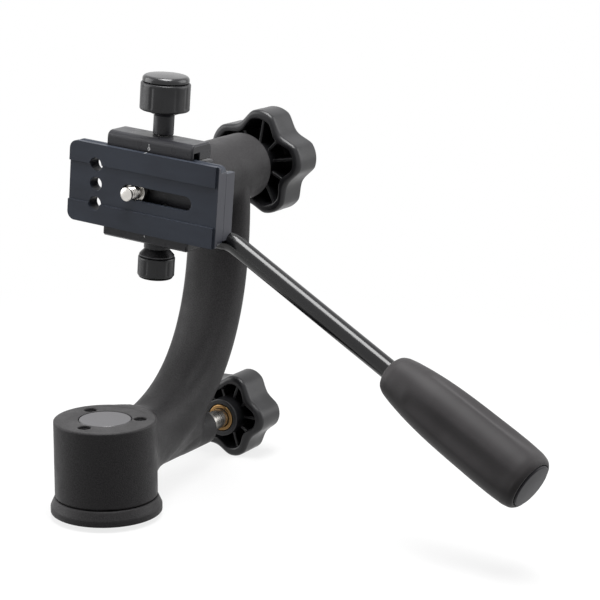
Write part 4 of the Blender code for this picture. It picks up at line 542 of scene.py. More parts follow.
def with_modifiers(thing):
    """A new mesh of an object with its modifiers applied."""
    view = bpy.context.evaluated_depsgraph_get()
    mesh = bpy.data.meshes.new_from_object(thing.evaluated_get(view))
    thing.modifiers.clear()
    return mesh


def taken_from(holder):
    """What a holder's modifiers made, as a bmesh; the holder is removed."""
    mesh = with_modifiers(holder)
    bpy.data.objects.remove(holder)
    shape = bmesh.new()
    shape.from_mesh(mesh)
    bpy.data.meshes.remove(mesh)
    return shape


def shells(*parts):
    """One bmesh of several closed shells, each given with its placing matrix."""
    made = bmesh.new()
    for shape, placed in parts:
        if placed is not None:
            bmesh.ops.transform(shape, matrix=placed, verts=shape.verts)
        bmesh.ops.recalc_face_normals(shape, faces=shape.faces)
        mesh = mesh_from(shape, "shell")
        made.from_mesh(mesh)
        bpy.data.meshes.remove(mesh)
    return made


def fit(name, shape, finish, body, *nodes):
    """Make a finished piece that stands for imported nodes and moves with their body.

    Its normals are weighted by face area, so a flat face beside a small rounding stays flat to the light.
    """
    mesh = mesh_from(shape, name)
    mesh.shade_smooth()
    mesh.set_sharp_from_angle(angle=SHARP)
    mesh.materials.append(finish)
    made = linked(name, mesh)
    weigh = made.modifiers.new("flat faces stay flat", "WEIGHTED_NORMAL")
    weigh.keep_sharp = True
    made.data = with_modifiers(made)
    made.data.name = name
    bpy.data.meshes.remove(mesh)
    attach(made, body)
    if nodes:
        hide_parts(*nodes)
    triangles = sum(len(face.vertices) - 2 for face in made.data.polygons)
    print(name, "stands for", list(nodes), "with", triangles, "triangles")


def fit_at(name, place, shape, finish, body, *nodes):
    """Move one closed shape to its place and fit it."""
    fit(name, shells((shape, place)), finish, body, *nodes)


def cut_shape(shape, *tools):
    """Subtract closed shapes from a shape, with Blender's exact Boolean."""
    objects = []
    for number, item in enumerate((shape, *tools)):
        bmesh.ops.recalc_face_normals(item, faces=item.faces)
        objects.append(linked(f"part {number}", mesh_from(item, f"part {number}")))
    for tool in objects[1:]:
        modifier = objects[0].modifiers.new("cut", "BOOLEAN")
        modifier.operation, modifier.solver, modifier.object = "DIFFERENCE", "EXACT", tool
    view = bpy.context.evaluated_depsgraph_get()
    result = bmesh.new()
    result.from_mesh(objects[0].evaluated_get(view).to_mesh())
    for thing in objects:
        bpy.data.objects.remove(thing)
    return result


def drilled(shape, profile, sides, circle, angles):
    """Cut one hole's profile of (radius, height) at each angle in degrees round a circle."""
    tools = []
    for angle in angles:
        tool = turned([(radius * MM, height * MM) for radius, height in profile], sides)
        bmesh.ops.translate(tool, verts=tool.verts, vec=on_ring(circle, math.radians(angle), 0.0))
        tools.append(tool)
    return cut_shape(shape, *tools)


# %% [markdown]
# ## Arm
# Barrel, curved arm, tilt housing and pan-lock boss are one casting, and everywhere two of them
# meet the foundry leaves a wide soft fillet. A Boolean would leave a hard crease there. Instead the
# four forms are written as distances from a surface, and blended where two of them are near. The
# blend's zero level is then meshed, with one vertex in each small cell that it crosses, and each
# vertex is pulled onto the exact level. Machined faces are separate shells laid over it.

# %% The arm's forms, in millimetres
BARREL_RADIUS, BARREL_BOTTOM, BARREL_TOP = 23.67, 7.5, 43.58
BOSS_RADIUS, BOSS_END = 8.7, 82.0
HOUSING_RADIUS, HOUSING_FRONT, HOUSING_REAR = 16.4, 84.0, 121.0
AXIS_Z, LOCK_Z = TILT_AXIS_Z / MM, PAN_LOCK_Z / MM
UNDER = 0.20            # blended surface below a machined shell that covers it
DIVE = 1.6              # and how much deeper it goes where nothing is blended
SQUARENESS = 2.6        # of the arm's section: 2 is an ellipse, more is squarer
ROOT, FOOT = np.array((12.0, 26.2)), np.array((35.2, 27.1))
HEAD_END, TOP_END = np.array((98.6, 130.02)), np.array((98.6, 142.82))
FOOT_AHEAD = np.array((math.cos(math.radians(14.4)), math.sin(math.radians(14.4))))
FOOT_PULL, HEAD_PULL = 43.9, 57.3
HALF_DEPTHS = (15.0, 14.3, 7.8, 7.8)      # at root, foot, head and top
HALF_WIDTHS = (17.2, 13.4, 16.4, 15.4)
BARREL_FILLET, BOSS_FILLET, HOUSING_FILLET = 12.0, 14.0, 8.0
BARREL_BORE, BOSS_BORE, HOUSING_BORE = 19.5, 7.0, 13.6
OUTSIDE = -50.0         # a distance so low that it never counts


def bezier(a, b, c, d, count):
    s = np.linspace(0.0, 1.0, count)[:, None]
    return a * (1 - s) ** 3 + b * 3 * s * (1 - s) ** 2 + c * 3 * s**2 * (1 - s) + d * s**3


def arm_line():
    """Centre, direction and half sizes at close steps along the arm, in the XZ plane."""
    steps = (80, 420, 40)
    first = bezier(ROOT, ROOT + (8.0, 0.0), FOOT - FOOT_AHEAD * 8.0, FOOT, steps[0])
    second = bezier(FOOT, FOOT + FOOT_AHEAD * FOOT_PULL, HEAD_END - (0.0, HEAD_PULL), HEAD_END, steps[1])
    third = HEAD_END + (TOP_END - HEAD_END) * np.linspace(0.0, 1.0, steps[2])[:, None]
    centre = np.vstack((first, second[1:], third[1:]))
    ahead = np.gradient(centre, axis=0)
    ahead /= np.linalg.norm(ahead, axis=1)[:, None]
    marks = np.cumsum((0, steps[0] - 1, steps[1] - 1, steps[2] - 1))
    rows = np.arange(len(centre))
    soft = np.hanning(61) / np.hanning(61).sum()
    sizes = []
    for values in (HALF_DEPTHS, HALF_WIDTHS):
        padded = np.pad(np.interp(rows, marks, values), 30, mode="edge")
        sizes.append(np.convolve(padded, soft, mode="valid"))
    return centre, ahead, sizes[0], sizes[1]


ARM_CENTRE, ARM_AHEAD, ARM_DEPTH, ARM_WIDTH = arm_line()
print("arm's centre line has", len(ARM_CENTRE), "steps")

# %% [markdown]
# Each form gives its distance and the direction that its surface faces. The blend fades out where
# two surfaces already face the same way, so the housing and the arm's flat sides run into each
# other with no bulge.

# %% Distances and blend


def to_arm(x, y, z):
    """Distance from the arm's skin and the way it faces."""
    flat_x, flat_z = np.broadcast_arrays(x, z)
    shape = flat_x.shape
    spots = np.stack((flat_x.ravel(), flat_z.ravel()), 1)
    nearest = np.empty(len(spots), int)
    for start in range(0, len(spots), 8192):
        gaps = spots[start:start + 8192, None, :] - ARM_CENTRE[None]
        nearest[start:start + 8192] = (gaps**2).sum(2).argmin(1)
    offset = spots - ARM_CENTRE[nearest]
    ahead = ARM_AHEAD[nearest]
    across = (offset[:, 0] * ahead[:, 1] - offset[:, 1] * ahead[:, 0]).reshape(shape)
    along = (offset * ahead).sum(1)
    past = np.where((nearest == 0) | (nearest == len(ARM_CENTRE) - 1), np.abs(along), OUTSIDE).reshape(shape)
    depth, width = ARM_DEPTH[nearest].reshape(shape), ARM_WIDTH[nearest].reshape(shape)
    power = SQUARENESS
    share_in, share_out = np.abs(across) / depth, np.abs(y) / width
    size = (share_in**power + share_out**power) ** (1 / power)
    reach = np.maximum(np.hypot(across, y), 0.001)
    distance = np.maximum(reach * (1 - 1 / np.maximum(size, 0.001)), past)
    lean_in = np.sign(across) * share_in ** (power - 1) / depth
    lean_out = np.sign(y) * share_out ** (power - 1) / width
    length = np.maximum(np.hypot(lean_in, lean_out), 1e-9)
    lean_in, lean_out = lean_in / length, lean_out / length
    side_x, side_z = ahead[:, 1].reshape(shape), -ahead[:, 0].reshape(shape)
    return distance, (lean_in * side_x, lean_out, lean_in * side_z)


def to_bar(along, low, high, side_a, side_b, radius):
    """Distance from a round bar, with the facing split into along its axis and across it."""
    reach = np.maximum(np.hypot(side_a, side_b), 0.001)
    out = reach - radius
    past = np.maximum(low - along, along - high)
    distance = np.minimum(np.maximum(out, past), 0.0) + np.hypot(np.maximum(out, 0.0), np.maximum(past, 0.0))
    end = past > out
    ahead = np.where(end, np.sign(along - (low + high) / 2), 0.0)
    return distance, ahead, np.where(end, 0.0, side_a / reach), np.where(end, 0.0, side_b / reach)


def blend(first, second, reach):
    """Unite two forms with a fillet about this wide."""
    (one, face_one), (two, face_two) = first, second
    alike = sum(a * b for a, b in zip(face_one, face_two))
    width = reach * np.clip(1 - alike, 0.001, 1.0)
    near = np.maximum(width - np.abs(one - two), 0.0) / width
    facing = tuple(np.where(one < two, a, b) for a, b in zip(face_one, face_two))
    return np.minimum(one, two) - near**2 * width / 4, facing


def rise(values, start, end):
    """0 up to start, 1 from end on, smooth between."""
    share = np.clip((values - start) / (end - start), 0.0, 1.0)
    return share**2 * (3 - 2 * share)


def casting(x, y, z):
    """The blended casting, hollow where the machined shells have their bores."""
    arm = to_arm(x, y, z)
    boss, boss_x, boss_y, boss_z = to_bar(x, 10.0, BOSS_END - 1.0, y, z - LOCK_Z,
                                          BOSS_RADIUS - UNDER - DIVE * rise(x, 66.0, 72.0))
    dive = DIVE * np.maximum(rise(np.minimum(arm[0], boss), 15.0, 20.0), 1.0 - rise(x, 4.0, 12.0))
    barrel, up_face, out_x, out_y = to_bar(z, BARREL_BOTTOM + 1.5, BARREL_TOP - UNDER - dive, x, y,
                                           BARREL_RADIUS - UNDER - dive)
    dive = DIVE * rise(arm[0], 9.0, 14.0)
    house, house_x, house_y, house_z = to_bar(x, HOUSING_FRONT + 2.0, HOUSING_REAR - 2.0, y, z - AXIS_Z,
                                              HOUSING_RADIUS - UNDER - dive)
    made = blend((barrel, (out_x, out_y, up_face)), arm, BARREL_FILLET)
    made = blend(made, (boss, (boss_x, boss_y, boss_z)), BOSS_FILLET)
    level, _ = blend(made, (house, (house_x, house_y, house_z)), HOUSING_FILLET)
    top = BARREL_TOP - UNDER
    # Nothing of the arm or its fillet stands above the barrel's flat top.
    flat_top = np.where(x < 38.0, z - top - np.maximum(x - 30.0, 0.0), OUTSIDE)
    hollows = (
        np.minimum(BARREL_BORE - np.hypot(x, y), top - z),
        np.minimum(BOSS_BORE - np.hypot(y, z - LOCK_Z), x - 60.0),
        np.minimum(np.minimum(HOUSING_BORE - np.hypot(y, z - AXIS_Z), x - 82.0), 123.0 - x),
        2.0 - x,
        flat_top,
    )
    for hollow in hollows:
        level = np.maximum(level, hollow)
    return level


# %% [markdown]
# The mesher looks at every cell of a grid. Where the surface crosses some of a cell's twelve edges,
# the cell gets one vertex in the middle of the crossings, and each crossed edge of the grid gets a
# face between the four cells round it.

# %% Mesh a level surface


def level_mesh(values, low, cell):
    """Vertices and quads of the zero level of a grid of values."""
    shape = tuple(n - 1 for n in values.shape)
    total, count = np.zeros((*shape, 3)), np.zeros(shape)

    def corner(offset):
        return values[tuple(slice(o, o + n) for o, n in zip(offset, shape))]

    corners = [(i, j, k) for i in (0, 1) for j in (0, 1) for k in (0, 1)]
    for a in corners:
        for axis in range(3):
            if a[axis] == 1:
                continue
            b = tuple(1 if n == axis else a[n] for n in range(3))
            start, end = corner(a), corner(b)
            crossed = (start < 0) != (end < 0)
            share = start[crossed] / (start[crossed] - end[crossed])
            spot = np.tile(np.array(a, float), (len(share), 1))
            spot[:, axis] += share
            total[crossed] += spot
            count[crossed] += 1
    used = count > 0
    number = np.full(shape, -1)
    number[used] = np.arange(used.sum())
    vertices = (np.argwhere(used) + total[used] / count[used][:, None]) * cell + low
    faces = []
    for axis in range(3):
        first, second = (axis + 1) % 3, (axis + 2) % 3
        here = [slice(1, n) for n in shape]
        here[axis] = slice(0, shape[axis])
        ahead = list(here)
        ahead[axis] = slice(1, shape[axis] + 1)
        inside, beyond = values[tuple(here)] < 0, values[tuple(ahead)] < 0
        spots = np.argwhere(inside != beyond)
        leaves = inside[tuple(spots.T)]
        base = spots + [0 if n == axis else 1 for n in range(3)]
        step_one, step_two = np.eye(3, dtype=int)[first], np.eye(3, dtype=int)[second]
        around = [number[tuple((base - shift).T)] for shift in
                  (0 * step_one, step_one, step_one + step_two, step_two)]
        quads = np.stack(around, 1)
        quads[~leaves] = quads[~leaves][:, ::-1]
        faces.append(quads)
    return vertices, np.vstack(faces)


def pull_to_level(vertices, field, rounds=3):
    """Move vertices along the field's slope onto its zero level."""
    step = 0.02
    for _ in range(rounds):
        value = field(*vertices.T)
        slope = np.stack([field(*(vertices + step * axis).T) - field(*(vertices - step * axis).T)
                          for axis in np.eye(3)], 1) / (2 * step)
        move = value[:, None] * slope / np.maximum((slope**2).sum(1), 0.05)[:, None]
        vertices = vertices - np.clip(move, -0.4, 0.4)
    return vertices


CELL = 0.9
low = np.array((1.0, -26.0, 5.0))
high = np.array((123.0, 26.0, 162.0))
axes = [np.arange(a, b, CELL) for a, b in zip(low, high)]
grid = casting(axes[0][:, None, None], axes[1][None, :, None], axes[2][None, None, :])
arm_points, arm_quads = level_mesh(grid, low, CELL)
arm_points = pull_to_level(arm_points, casting)
skin = bpy.data.meshes.new("skin")
skin.from_pydata((arm_points * MM).tolist(), [], arm_quads.tolist())
blended = bmesh.new()
blended.from_mesh(skin)
bpy.data.meshes.remove(skin)
print("blended casting:", len(arm_points), "vertices")

# %% [markdown]
# The barrel, the housing and the end of the boss are machined after casting, so their faces are
# flat and their edges crisp. Each is a spun shell over the blended skin. The barrel's top is bored
# for the disc and for three sunk screws.

# %% Machined shells of the arm
SCREW_CIRCLE, SCREW_HOLE = 16.1, 3.05
SCREW_ANGLES = (60.0, 180.0, 300.0)
SLEEVE_FRONT = 58.5     # the housing's thin front skirt, over the hub
AT_TILT = Matrix.Translation((0.0, 0.0, TILT_AXIS_Z))
AT_LOCK = Matrix.Translation((0.0, 0.0, PAN_LOCK_Z))
barrel_shell = turned(rounded((
    (19.97, BARREL_BOTTOM, 0.0), (BARREL_RADIUS, BARREL_BOTTOM, 0.8), (BARREL_RADIUS, BARREL_TOP, 0.7),
    (12.32, BARREL_TOP, 0.15), (12.32, 41.58, 0.0), (10.52, 41.58, 0.0), (10.52, 38.58, 0.0),
    (19.97, 38.58, 0.0))), 144)
screw_hole = ((0.0, 40.08), (SCREW_HOLE, 40.08), (SCREW_HOLE, 44.4), (0.0, 44.4))
barrel_shell = drilled(barrel_shell, screw_hole, 32, SCREW_CIRCLE, SCREW_ANGLES)
housing_shell = turned(rounded((
    (12.3, HOUSING_FRONT, 0.2), (15.8, HOUSING_FRONT, 0.0), (15.8, SLEEVE_FRONT, 0.1),
    (HOUSING_RADIUS, SLEEVE_FRONT, 0.4), (HOUSING_RADIUS, HOUSING_REAR, 1.5), (12.3, HOUSING_REAR, 0.2),
    (12.3, 112.9, 0.0), (10.2, 112.9, 0.0), (10.2, 92.1, 0.0), (12.3, 92.1, 0.0))), 128)
boss_shell = turned(rounded((
    (5.1, 48.0, 0.0), (BOSS_RADIUS - 0.5, 48.0, 0.0), (BOSS_RADIUS, 60.0, 0.0),
    (BOSS_RADIUS, BOSS_END, 0.8), (5.1, BOSS_END, 0.3))), 96)
arm_shape = shells((blended, None), (barrel_shell, None), (housing_shell, AT_TILT @ LAID),
                   (boss_shell, AT_LOCK @ LAID))
fit("arm_casting_body", arm_shape, coat, "arm", "arm_casting")

# %% [markdown]
# ## Base
# The base flange is turned: a short upright rim, then a bevel up to the groove under the barrel.
# Three countersunk screws come up from below, and a threaded steel bushing sits in the middle.

# %% Base flange
FLANGE_SCREW_CIRCLE = 11.2
flange = turned(rounded((
    (7.5, 0.0, 0.2), (25.73, 0.0, 0.5), (25.73, 2.9, 0.5), (23.9, 6.9, 0.6), (23.4, 7.0, 0.0),
    (7.5, 7.0, 0.2))), 144)
countersink = ((0.0, -1.0), (2.9, -1.0), (2.9, 0.3), (1.8, 1.4), (1.8, 8.0), (0.0, 8.0))
flange = drilled(flange, countersink, 24, FLANGE_SCREW_CIRCLE, (0.0, 120.0, 240.0))
fit("base_flange_body", flange, coat, "base", "base_flange")

# %% [markdown]
# ## Threads
# A thread is one helix, so a spun profile can't make it. It is a grid instead: each vertex's
# radius depends on its height and on how far round it is, which gives a true V thread. It fades
# out over its first turn, as a cut thread does.

# %% Thread helper
THREAD_SIDES, STEPS_PER_TURN = 48, 8


def thread_rings(radius, pitch, low, high, depth, inward=False):
    """Rings of a V thread on a bar (or in a bore) between two heights, in millimetres."""
    rings = []
    count = max(2, round((high - low) / pitch * STEPS_PER_TURN))
    for i in range(count + 1):
        height = low + (high - low) * i / count
        fade = min(1.0, (height - low) / pitch + 0.05, (high - height) / pitch + 0.05)
        ring = []
        for k in range(THREAD_SIDES):
            phase = (height / pitch - k / THREAD_SIDES) % 1.0
            sunk = depth * fade * abs(2 * phase - 1.0)
            reach = radius + sunk if inward else radius - sunk
            ring.append(on_ring(reach, 2 * math.pi * k / THREAD_SIDES, height))
        rings.append(ring)
    return rings


# %% [markdown]
# The tripod's bushing is a ring with a 3/8 inch thread, 16 turns to the inch, in its bore.

# %% Tripod bushing
bushing_rings = plain_rings(((4.9, 0.3), (7.1, 0.3), (7.2, 0.4), (7.2, 6.9), (7.1, 7.0), (4.9, 7.0)))
bushing_rings += thread_rings(4.76, 1.588, 0.3, 7.0, 0.09, inward=True)[::-1]
bushing = loft(bushing_rings)
bmesh.ops.remove_doubles(bushing, verts=bushing.verts, dist=MM / 1000)
bore_caps = [face for face in bushing.faces if len(face.verts) > 4]
bmesh.ops.delete(bushing, geom=bore_caps, context="FACES_ONLY")
ends = [edge for edge in bushing.edges if edge.is_boundary]
bmesh.ops.bridge_loops(bushing, edges=ends)
fit_at("tripod_bushing_threaded", None, bushing, steel, "base", "tripod_bushing")

# %% [markdown]
# ## Copies round a circle
# Screws and ribs repeat round an axis, which is work for Geometry Nodes: one tree puts copies of
# a source object on a circle's points, each turned to face outwards. The same tree serves the
# barrel's cap screws, the flange's screws and the star knobs' ribs.

# %% Tree: copies round a circle


def new_tree(name, inputs):
    """A Geometry Nodes tree with these inputs and one geometry output, and its input sockets."""
    tree = bpy.data.node_groups.new(name, "GeometryNodeTree")
    for label, kind in inputs:
        tree.interface.new_socket(label, in_out="INPUT", socket_type=kind)
    tree.interface.new_socket("Geometry", in_out="OUTPUT", socket_type="NodeSocketGeometry")
    return tree, add_node(tree, "NodeGroupInput").outputs


def copies_tree():
    tree, given = new_tree("copies round a circle", (
        ("Source", "NodeSocketObject"), ("Count", "NodeSocketInt"), ("Radius", "NodeSocketFloat"),
        ("Start angle", "NodeSocketFloat")))
    source = add_node(tree, "GeometryNodeObjectInfo", links={"Object": given["Source"]})
    circle = add_node(tree, "GeometryNodeMeshCircle",
                      links={"Vertices": given["Count"], "Radius": given["Radius"]})
    turn = add_node(tree, "ShaderNodeCombineXYZ", links={"Z": given["Start angle"]})
    turned_circle = add_node(tree, "GeometryNodeTransform",
                             links={"Geometry": circle.outputs[0], "Rotation": turn.outputs[0]})
    spot = add_node(tree, "GeometryNodeInputPosition")
    outward = add_node(tree, "FunctionNodeAlignRotationToVector", {"axis": "X"},
                       links={"Vector": spot.outputs[0]})
    copies = add_node(tree, "GeometryNodeInstanceOnPoints",
                      links={"Points": turned_circle.outputs[0], "Instance": source.outputs["Geometry"],
                             "Rotation": outward.outputs[0]})
    real = add_node(tree, "GeometryNodeRealizeInstances", links={0: copies.outputs[0]})
    add_node(tree, "NodeGroupOutput", links={0: real.outputs[0]})
    return tree


COPIES = copies_tree()


def run_tree(tree, values):
    """Run a tree with these named inputs and return what it makes as a bmesh."""
    holder = linked("holder", bpy.data.meshes.new("holder"))
    modifier = holder.modifiers.new("tree", "NODES")
    modifier.node_group = tree
    for item in tree.interface.items_tree:
        if item.in_out == "INPUT":
            modifier[item.identifier] = values[item.name]
    return taken_from(holder)


def round_circle(shape, count, radius, start):
    """Copies of a shape round +Z; radius in millimetres, start in degrees."""
    bmesh.ops.recalc_face_normals(shape, faces=shape.faces)
    source = linked("source", mesh_from(shape, "source"))
    made = run_tree(COPIES, {"Source": source, "Count": count, "Radius": radius * MM,
                             "Start angle": math.radians(start)})
    bpy.data.objects.remove(source)
    return made


# %% [markdown]
# ## Screws
# A socket screw's head has a small chamfer and a hexagonal socket. The head is a spun profile with
# a hexagon cut into it, and the tree above sets the copies round their circle.

# %% Screws


def hexagon(size, low, high):
    """A six-sided bar to cut a socket with, in millimetres."""
    return loft(plain_rings(((size, low), (size, high)), 6))


def socket_screw(head, head_height, radius, length, socket, depth):
    """A socket cap screw that hangs down from the origin, in millimetres."""
    screw = turned(rounded((
        (0.0, -head_height - length, 0.0), (radius, -head_height - length, 0.2), (radius, -head_height, 0.0),
        (head, -head_height, 0.15), (head, 0.0, 0.3), (0.0, 0.0, 0.0))), 40)
    return cut_shape(screw, hexagon(socket, -depth, 0.5))


cap_screws = round_circle(socket_screw(2.75, 2.2, 1.5, 9.0, 1.5, 1.3), 3, SCREW_CIRCLE, SCREW_ANGLES[0])
fit_at("carrier_screws", Matrix.Translation((0.0, 0.0, 42.58 * MM)), cap_screws, oxide, "arm",
       "carrier_screw_1", "carrier_screw_2", "carrier_screw_3")

flat_screw = turned(rounded((
    (0.0, 0.3, 0.0), (2.6, 0.3, 0.0), (1.5, 1.4, 0.0), (1.5, 11.0, 0.0), (0.0, 11.0, 0.0))), 32)
flat_screw = cut_shape(flat_screw, hexagon(1.1, -0.5, 1.4))
fit_at("flange_screws", None, round_circle(flat_screw, 3, FLANGE_SCREW_CIRCLE, 0.0), oxide, "base",
       "flange_screw_1", "flange_screw_2", "flange_screw_3")

# %% [markdown]
# ## Star knobs
# Both locks have a hollow five-lobed knob of moulded plastic: five round lobes joined by hollow
# flutes, a rounded rim round the open side, and inside it a hub and ten stiffening ribs. The
# outline is one formula for the radius at each angle, and rings of it at rising heights make the
# shell. The ribs are copies round the hub.

# %% Star knob
LOBES = 5
LOBE_HALF = math.radians(14.5)
LOBE_STEPS, FLUTE_STEPS = 9, 20                 # over half a lobe, and from one lobe to the next
WALL, RIM, FLOOR, RIB = 4.4, 2.4, 3.0, 1.4
BACK, RECESS, RECESS_DEPTH = 2.4, 7.8, 0.9      # rounding of the back, and the cap's seat in it
RIB_FRONT, RIB_DRAFT = 3.5, 1.25                # ribs start this far in, and widen towards the floor
INSERT_RADIUS, INSERT_GAP = 6.7, 0.3


def star_outline(tip, edge_drop, flute_drop, phase):
    """Angles and radii of the outline, its ridges rounded a little."""
    angles, radii = [], []
    pitch = 2 * math.pi / LOBES
    gap = pitch - 2 * LOBE_HALF
    for lobe in range(LOBES):
        middle = phase + lobe * pitch
        for i in range(-LOBE_STEPS, LOBE_STEPS + 1):
            angles.append(middle + i / LOBE_STEPS * LOBE_HALF)
            radii.append(tip - edge_drop * (i / LOBE_STEPS) ** 2)
        for i in range(1, FLUTE_STEPS):
            angles.append(middle + LOBE_HALF + i / FLUTE_STEPS * gap)
            dip = math.sin(math.pi * i / FLUTE_STEPS)
            radii.append(tip - edge_drop - (flute_drop - edge_drop) * dip)
    radii = np.array(radii)
    return angles, (np.roll(radii, 1) + 2 * radii + np.roll(radii, -1)) / 4


def arc(centre_in, centre_up, radius, start, end, steps):
    """Inset and height along an arc; angles in degrees from outwards towards +Z."""
    return [(centre_in - radius * math.cos(math.radians(start + (end - start) * k / steps)),
             centre_up + radius * math.sin(math.radians(start + (end - start) * k / steps)))
            for k in range(steps + 1)]


def star_knob(tip, edge_drop, flute_drop, depth, phase, hub, hub_reach):
    """The knob's shell, hub and ribs as closed shapes, its open side towards -Z, in millimetres."""
    angles, radii = star_outline(tip, edge_drop, flute_drop, phase)
    socket = depth - FLOOR + 0.8

    def ring(inset, height, share=0.0, circle=0.0):
        reach = (radii - inset) * (1 - share) + circle * share
        return [on_ring(r, a, height) for r, a in zip(reach, angles)]

    outside = arc(RIM, RIM, RIM, -90.0, 0.0, 7) + [(0.0, depth * 0.5), (0.06, depth * 0.5 + 0.1)]
    outside += [(0.06, depth - BACK)] + arc(BACK, depth - BACK, BACK, 8.0, 90.0, 8)
    rings = [ring(inset, height) for inset, height in outside]
    rings += [ring(BACK, depth, share, RECESS) for share in (0.35, 0.7, 1.0)]
    rings += [ring(0.0, depth - RECESS_DEPTH, 1.0, circle) for circle in (RECESS, 0.05)]
    inner = [(WALL + 1.0, depth - FLOOR - 0.6), (WALL + 0.9, depth - FLOOR - 1.2)]
    inner += [(WALL - 0.9 + 0.9 * math.cos(math.pi * k / 10), 0.9 - 0.9 * math.sin(math.pi * k / 10))
              for k in range(6)]
    inside = [ring(0.0, depth - FLOOR, 1.0, 0.05), ring(WALL + 1.8, depth - FLOOR)]
    inside += [ring(inset, height) for inset, height in inner]
    bore = INSERT_RADIUS + INSERT_GAP
    tube = turned(rounded((
        (bore, -hub_reach, 0.3), (hub, -hub_reach, 0.6), (hub, socket, 0.0), (bore, socket, 0.0))), 72)
    parts = [loft(inside + rings), tube]
    middle = (socket + RIB_FRONT) / 2
    for start, reach in ((phase, tip - WALL / 2), (phase + math.pi / LOBES, tip - WALL / 2 - flute_drop)):
        length = reach - (hub - 0.5)
        rib = bmesh.new()
        bmesh.ops.create_cube(rib, size=1.0)
        bmesh.ops.scale(rib, vec=(length * MM, RIB * MM, (socket - RIB_FRONT) * MM), verts=rib.verts)
        bmesh.ops.translate(rib, vec=(0.0, 0.0, middle * MM), verts=rib.verts)
        for vertex in rib.verts:
            if vertex.co.z > middle * MM:
                vertex.co.y *= RIB_DRAFT
        bmesh.ops.bevel(rib, geom=rib.edges[:], offset=0.25 * MM, segments=2, affect="EDGES")
        parts.append(round_circle(rib, LOBES, hub - 0.5 + length / 2, math.degrees(start)))
    return parts


def cap_disc(radius, low, high):
    return turned(rounded(((0.0, low, 0.0), (radius, low, 0.0), (radius, high, 0.4), (0.0, high, 0.0))), 72)


def fit_star_knob(lock, place, parts, cap_low):
    """Fit a lock's star knob and its round cap, both laid along +X."""
    knob = shells(*[(shape, place @ LAID) for shape in parts])
    fit(lock + "_lock_star_knob", knob, plastic, lock + "_knob", lock + "_lock_knob")
    fit_at(lock + "_knob_round_cap", place @ LAID, cap_disc(7.5, cap_low, cap_low + 1.3), plastic,
           lock + "_knob", lock + "_knob_cap")


pan_knob = star_knob(21.5, 1.0, 4.0, 19.2, math.pi / 2 + math.radians(37.0), 9.4, 4.2)
fit_star_knob("pan", Matrix.Translation((102.9 * MM, 0.0, PAN_LOCK_Z)), pan_knob, 18.6)
tilt_knob = star_knob(26.7, 0.9, 5.4, 18.8, math.pi / 2 + math.radians(28.3 - TILT_DEGREES), 9.6, 6.4)
fit_star_knob("tilt", HEAD @ Matrix.Translation((130.3 * MM, 0.0, 0.0)), tilt_knob, 18.2)

# %% [markdown]
# ## Milled pieces
# The upper jaw and the clamp's body are prisms with holes and slots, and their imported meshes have
# the right shape with hard edges. A copy is merged into whole faces, then the Bevel modifier
# breaks its sharp edges by a quarter to half a millimetre, as a deburring tool does.

# %% Milled pieces with broken edges


def whole_copy(node):
    """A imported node's mesh as a bmesh, its loose triangles merged."""
    shape = bmesh.new()
    shape.from_mesh(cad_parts[node].data)
    bmesh.ops.remove_doubles(shape, verts=shape.verts, dist=MM / 1000)
    return shape


def broken_edges(name, shape, width, finish, body, *nodes):
    """Fit a shape with its sharp edges rounded by a width in millimetres."""
    bmesh.ops.dissolve_limit(shape, angle_limit=math.radians(0.5), verts=shape.verts, edges=shape.edges)
    holder = linked("holder", mesh_from(shape, "milled"))
    bevel = holder.modifiers.new("broken edges", "BEVEL")
    bevel.width = width * MM
    bevel.segments = 2
    bevel.limit_method = "ANGLE"
    bevel.angle_limit = math.radians(40.0)
    bevel.miter_outer = "MITER_ARC"
    bevel.use_clamp_overlap = True
    fit(name, taken_from(holder), finish, body, *nodes)


broken_edges("upper_jaw_body", whole_copy("upper_jaw"), 0.50, machined, "jaw", "upper_jaw")
broken_edges("clamp_body_milled", whole_copy("clamp_body"), 0.25, machined, "head", "clamp_body")

# %% [markdown]
# The plate is milled from a dovetail extrusion. Its forward corners are round; at the end towards
# the user only the dovetail's corners are, and the two raised bands of its face stop a little
# short of the end. Each cut is a closed shape taken away by the exact Boolean.

# %% Lens plate
FRONT, REAR = 32.2, 39.6
TOP, STEP_TOP = 19.0, 18.8         # half widths of the plate's face and of its dovetail
SLOT_Z = -0.7


def arc_points(y, z, radius, start, end, steps=10):
    """Points round an arc, angles in degrees."""
    turns = [math.radians(start + (end - start) * k / steps) for k in range(steps + 1)]
    return [(y + radius * math.cos(turn), z + radius * math.sin(turn)) for turn in turns]


def circle_points(y, z, radius, steps):
    return arc_points(y, z, radius, 0, 360 - 360 / steps, steps - 1)


def box_points(y_low, y_high, z_low, z_high):
    return [(y_low, z_low), (y_high, z_low), (y_high, z_high), (y_low, z_high)]


def corner_waste(y, z, radius, low, high):
    """What is milled off a corner at (y, z) to round it."""
    way_y, way_z = math.copysign(1.0, y), math.copysign(1.0, z)
    middle_y, middle_z = y - way_y * radius, z - way_z * radius
    curve = [(middle_y + way_y * radius * math.cos(math.pi * k / 20),
              middle_z + way_z * radius * math.sin(math.pi * k / 20)) for k in range(11)]
    return prism(0, curve + [(middle_y, z + way_z), (y + way_y, z + way_z), (y + way_y, middle_z)], low, high)


def slot_outline(start, end, half_width, z):
    return (arc_points(end - half_width, z, half_width, -90, 90)
            + arc_points(start + half_width, z, half_width, 90, 270))


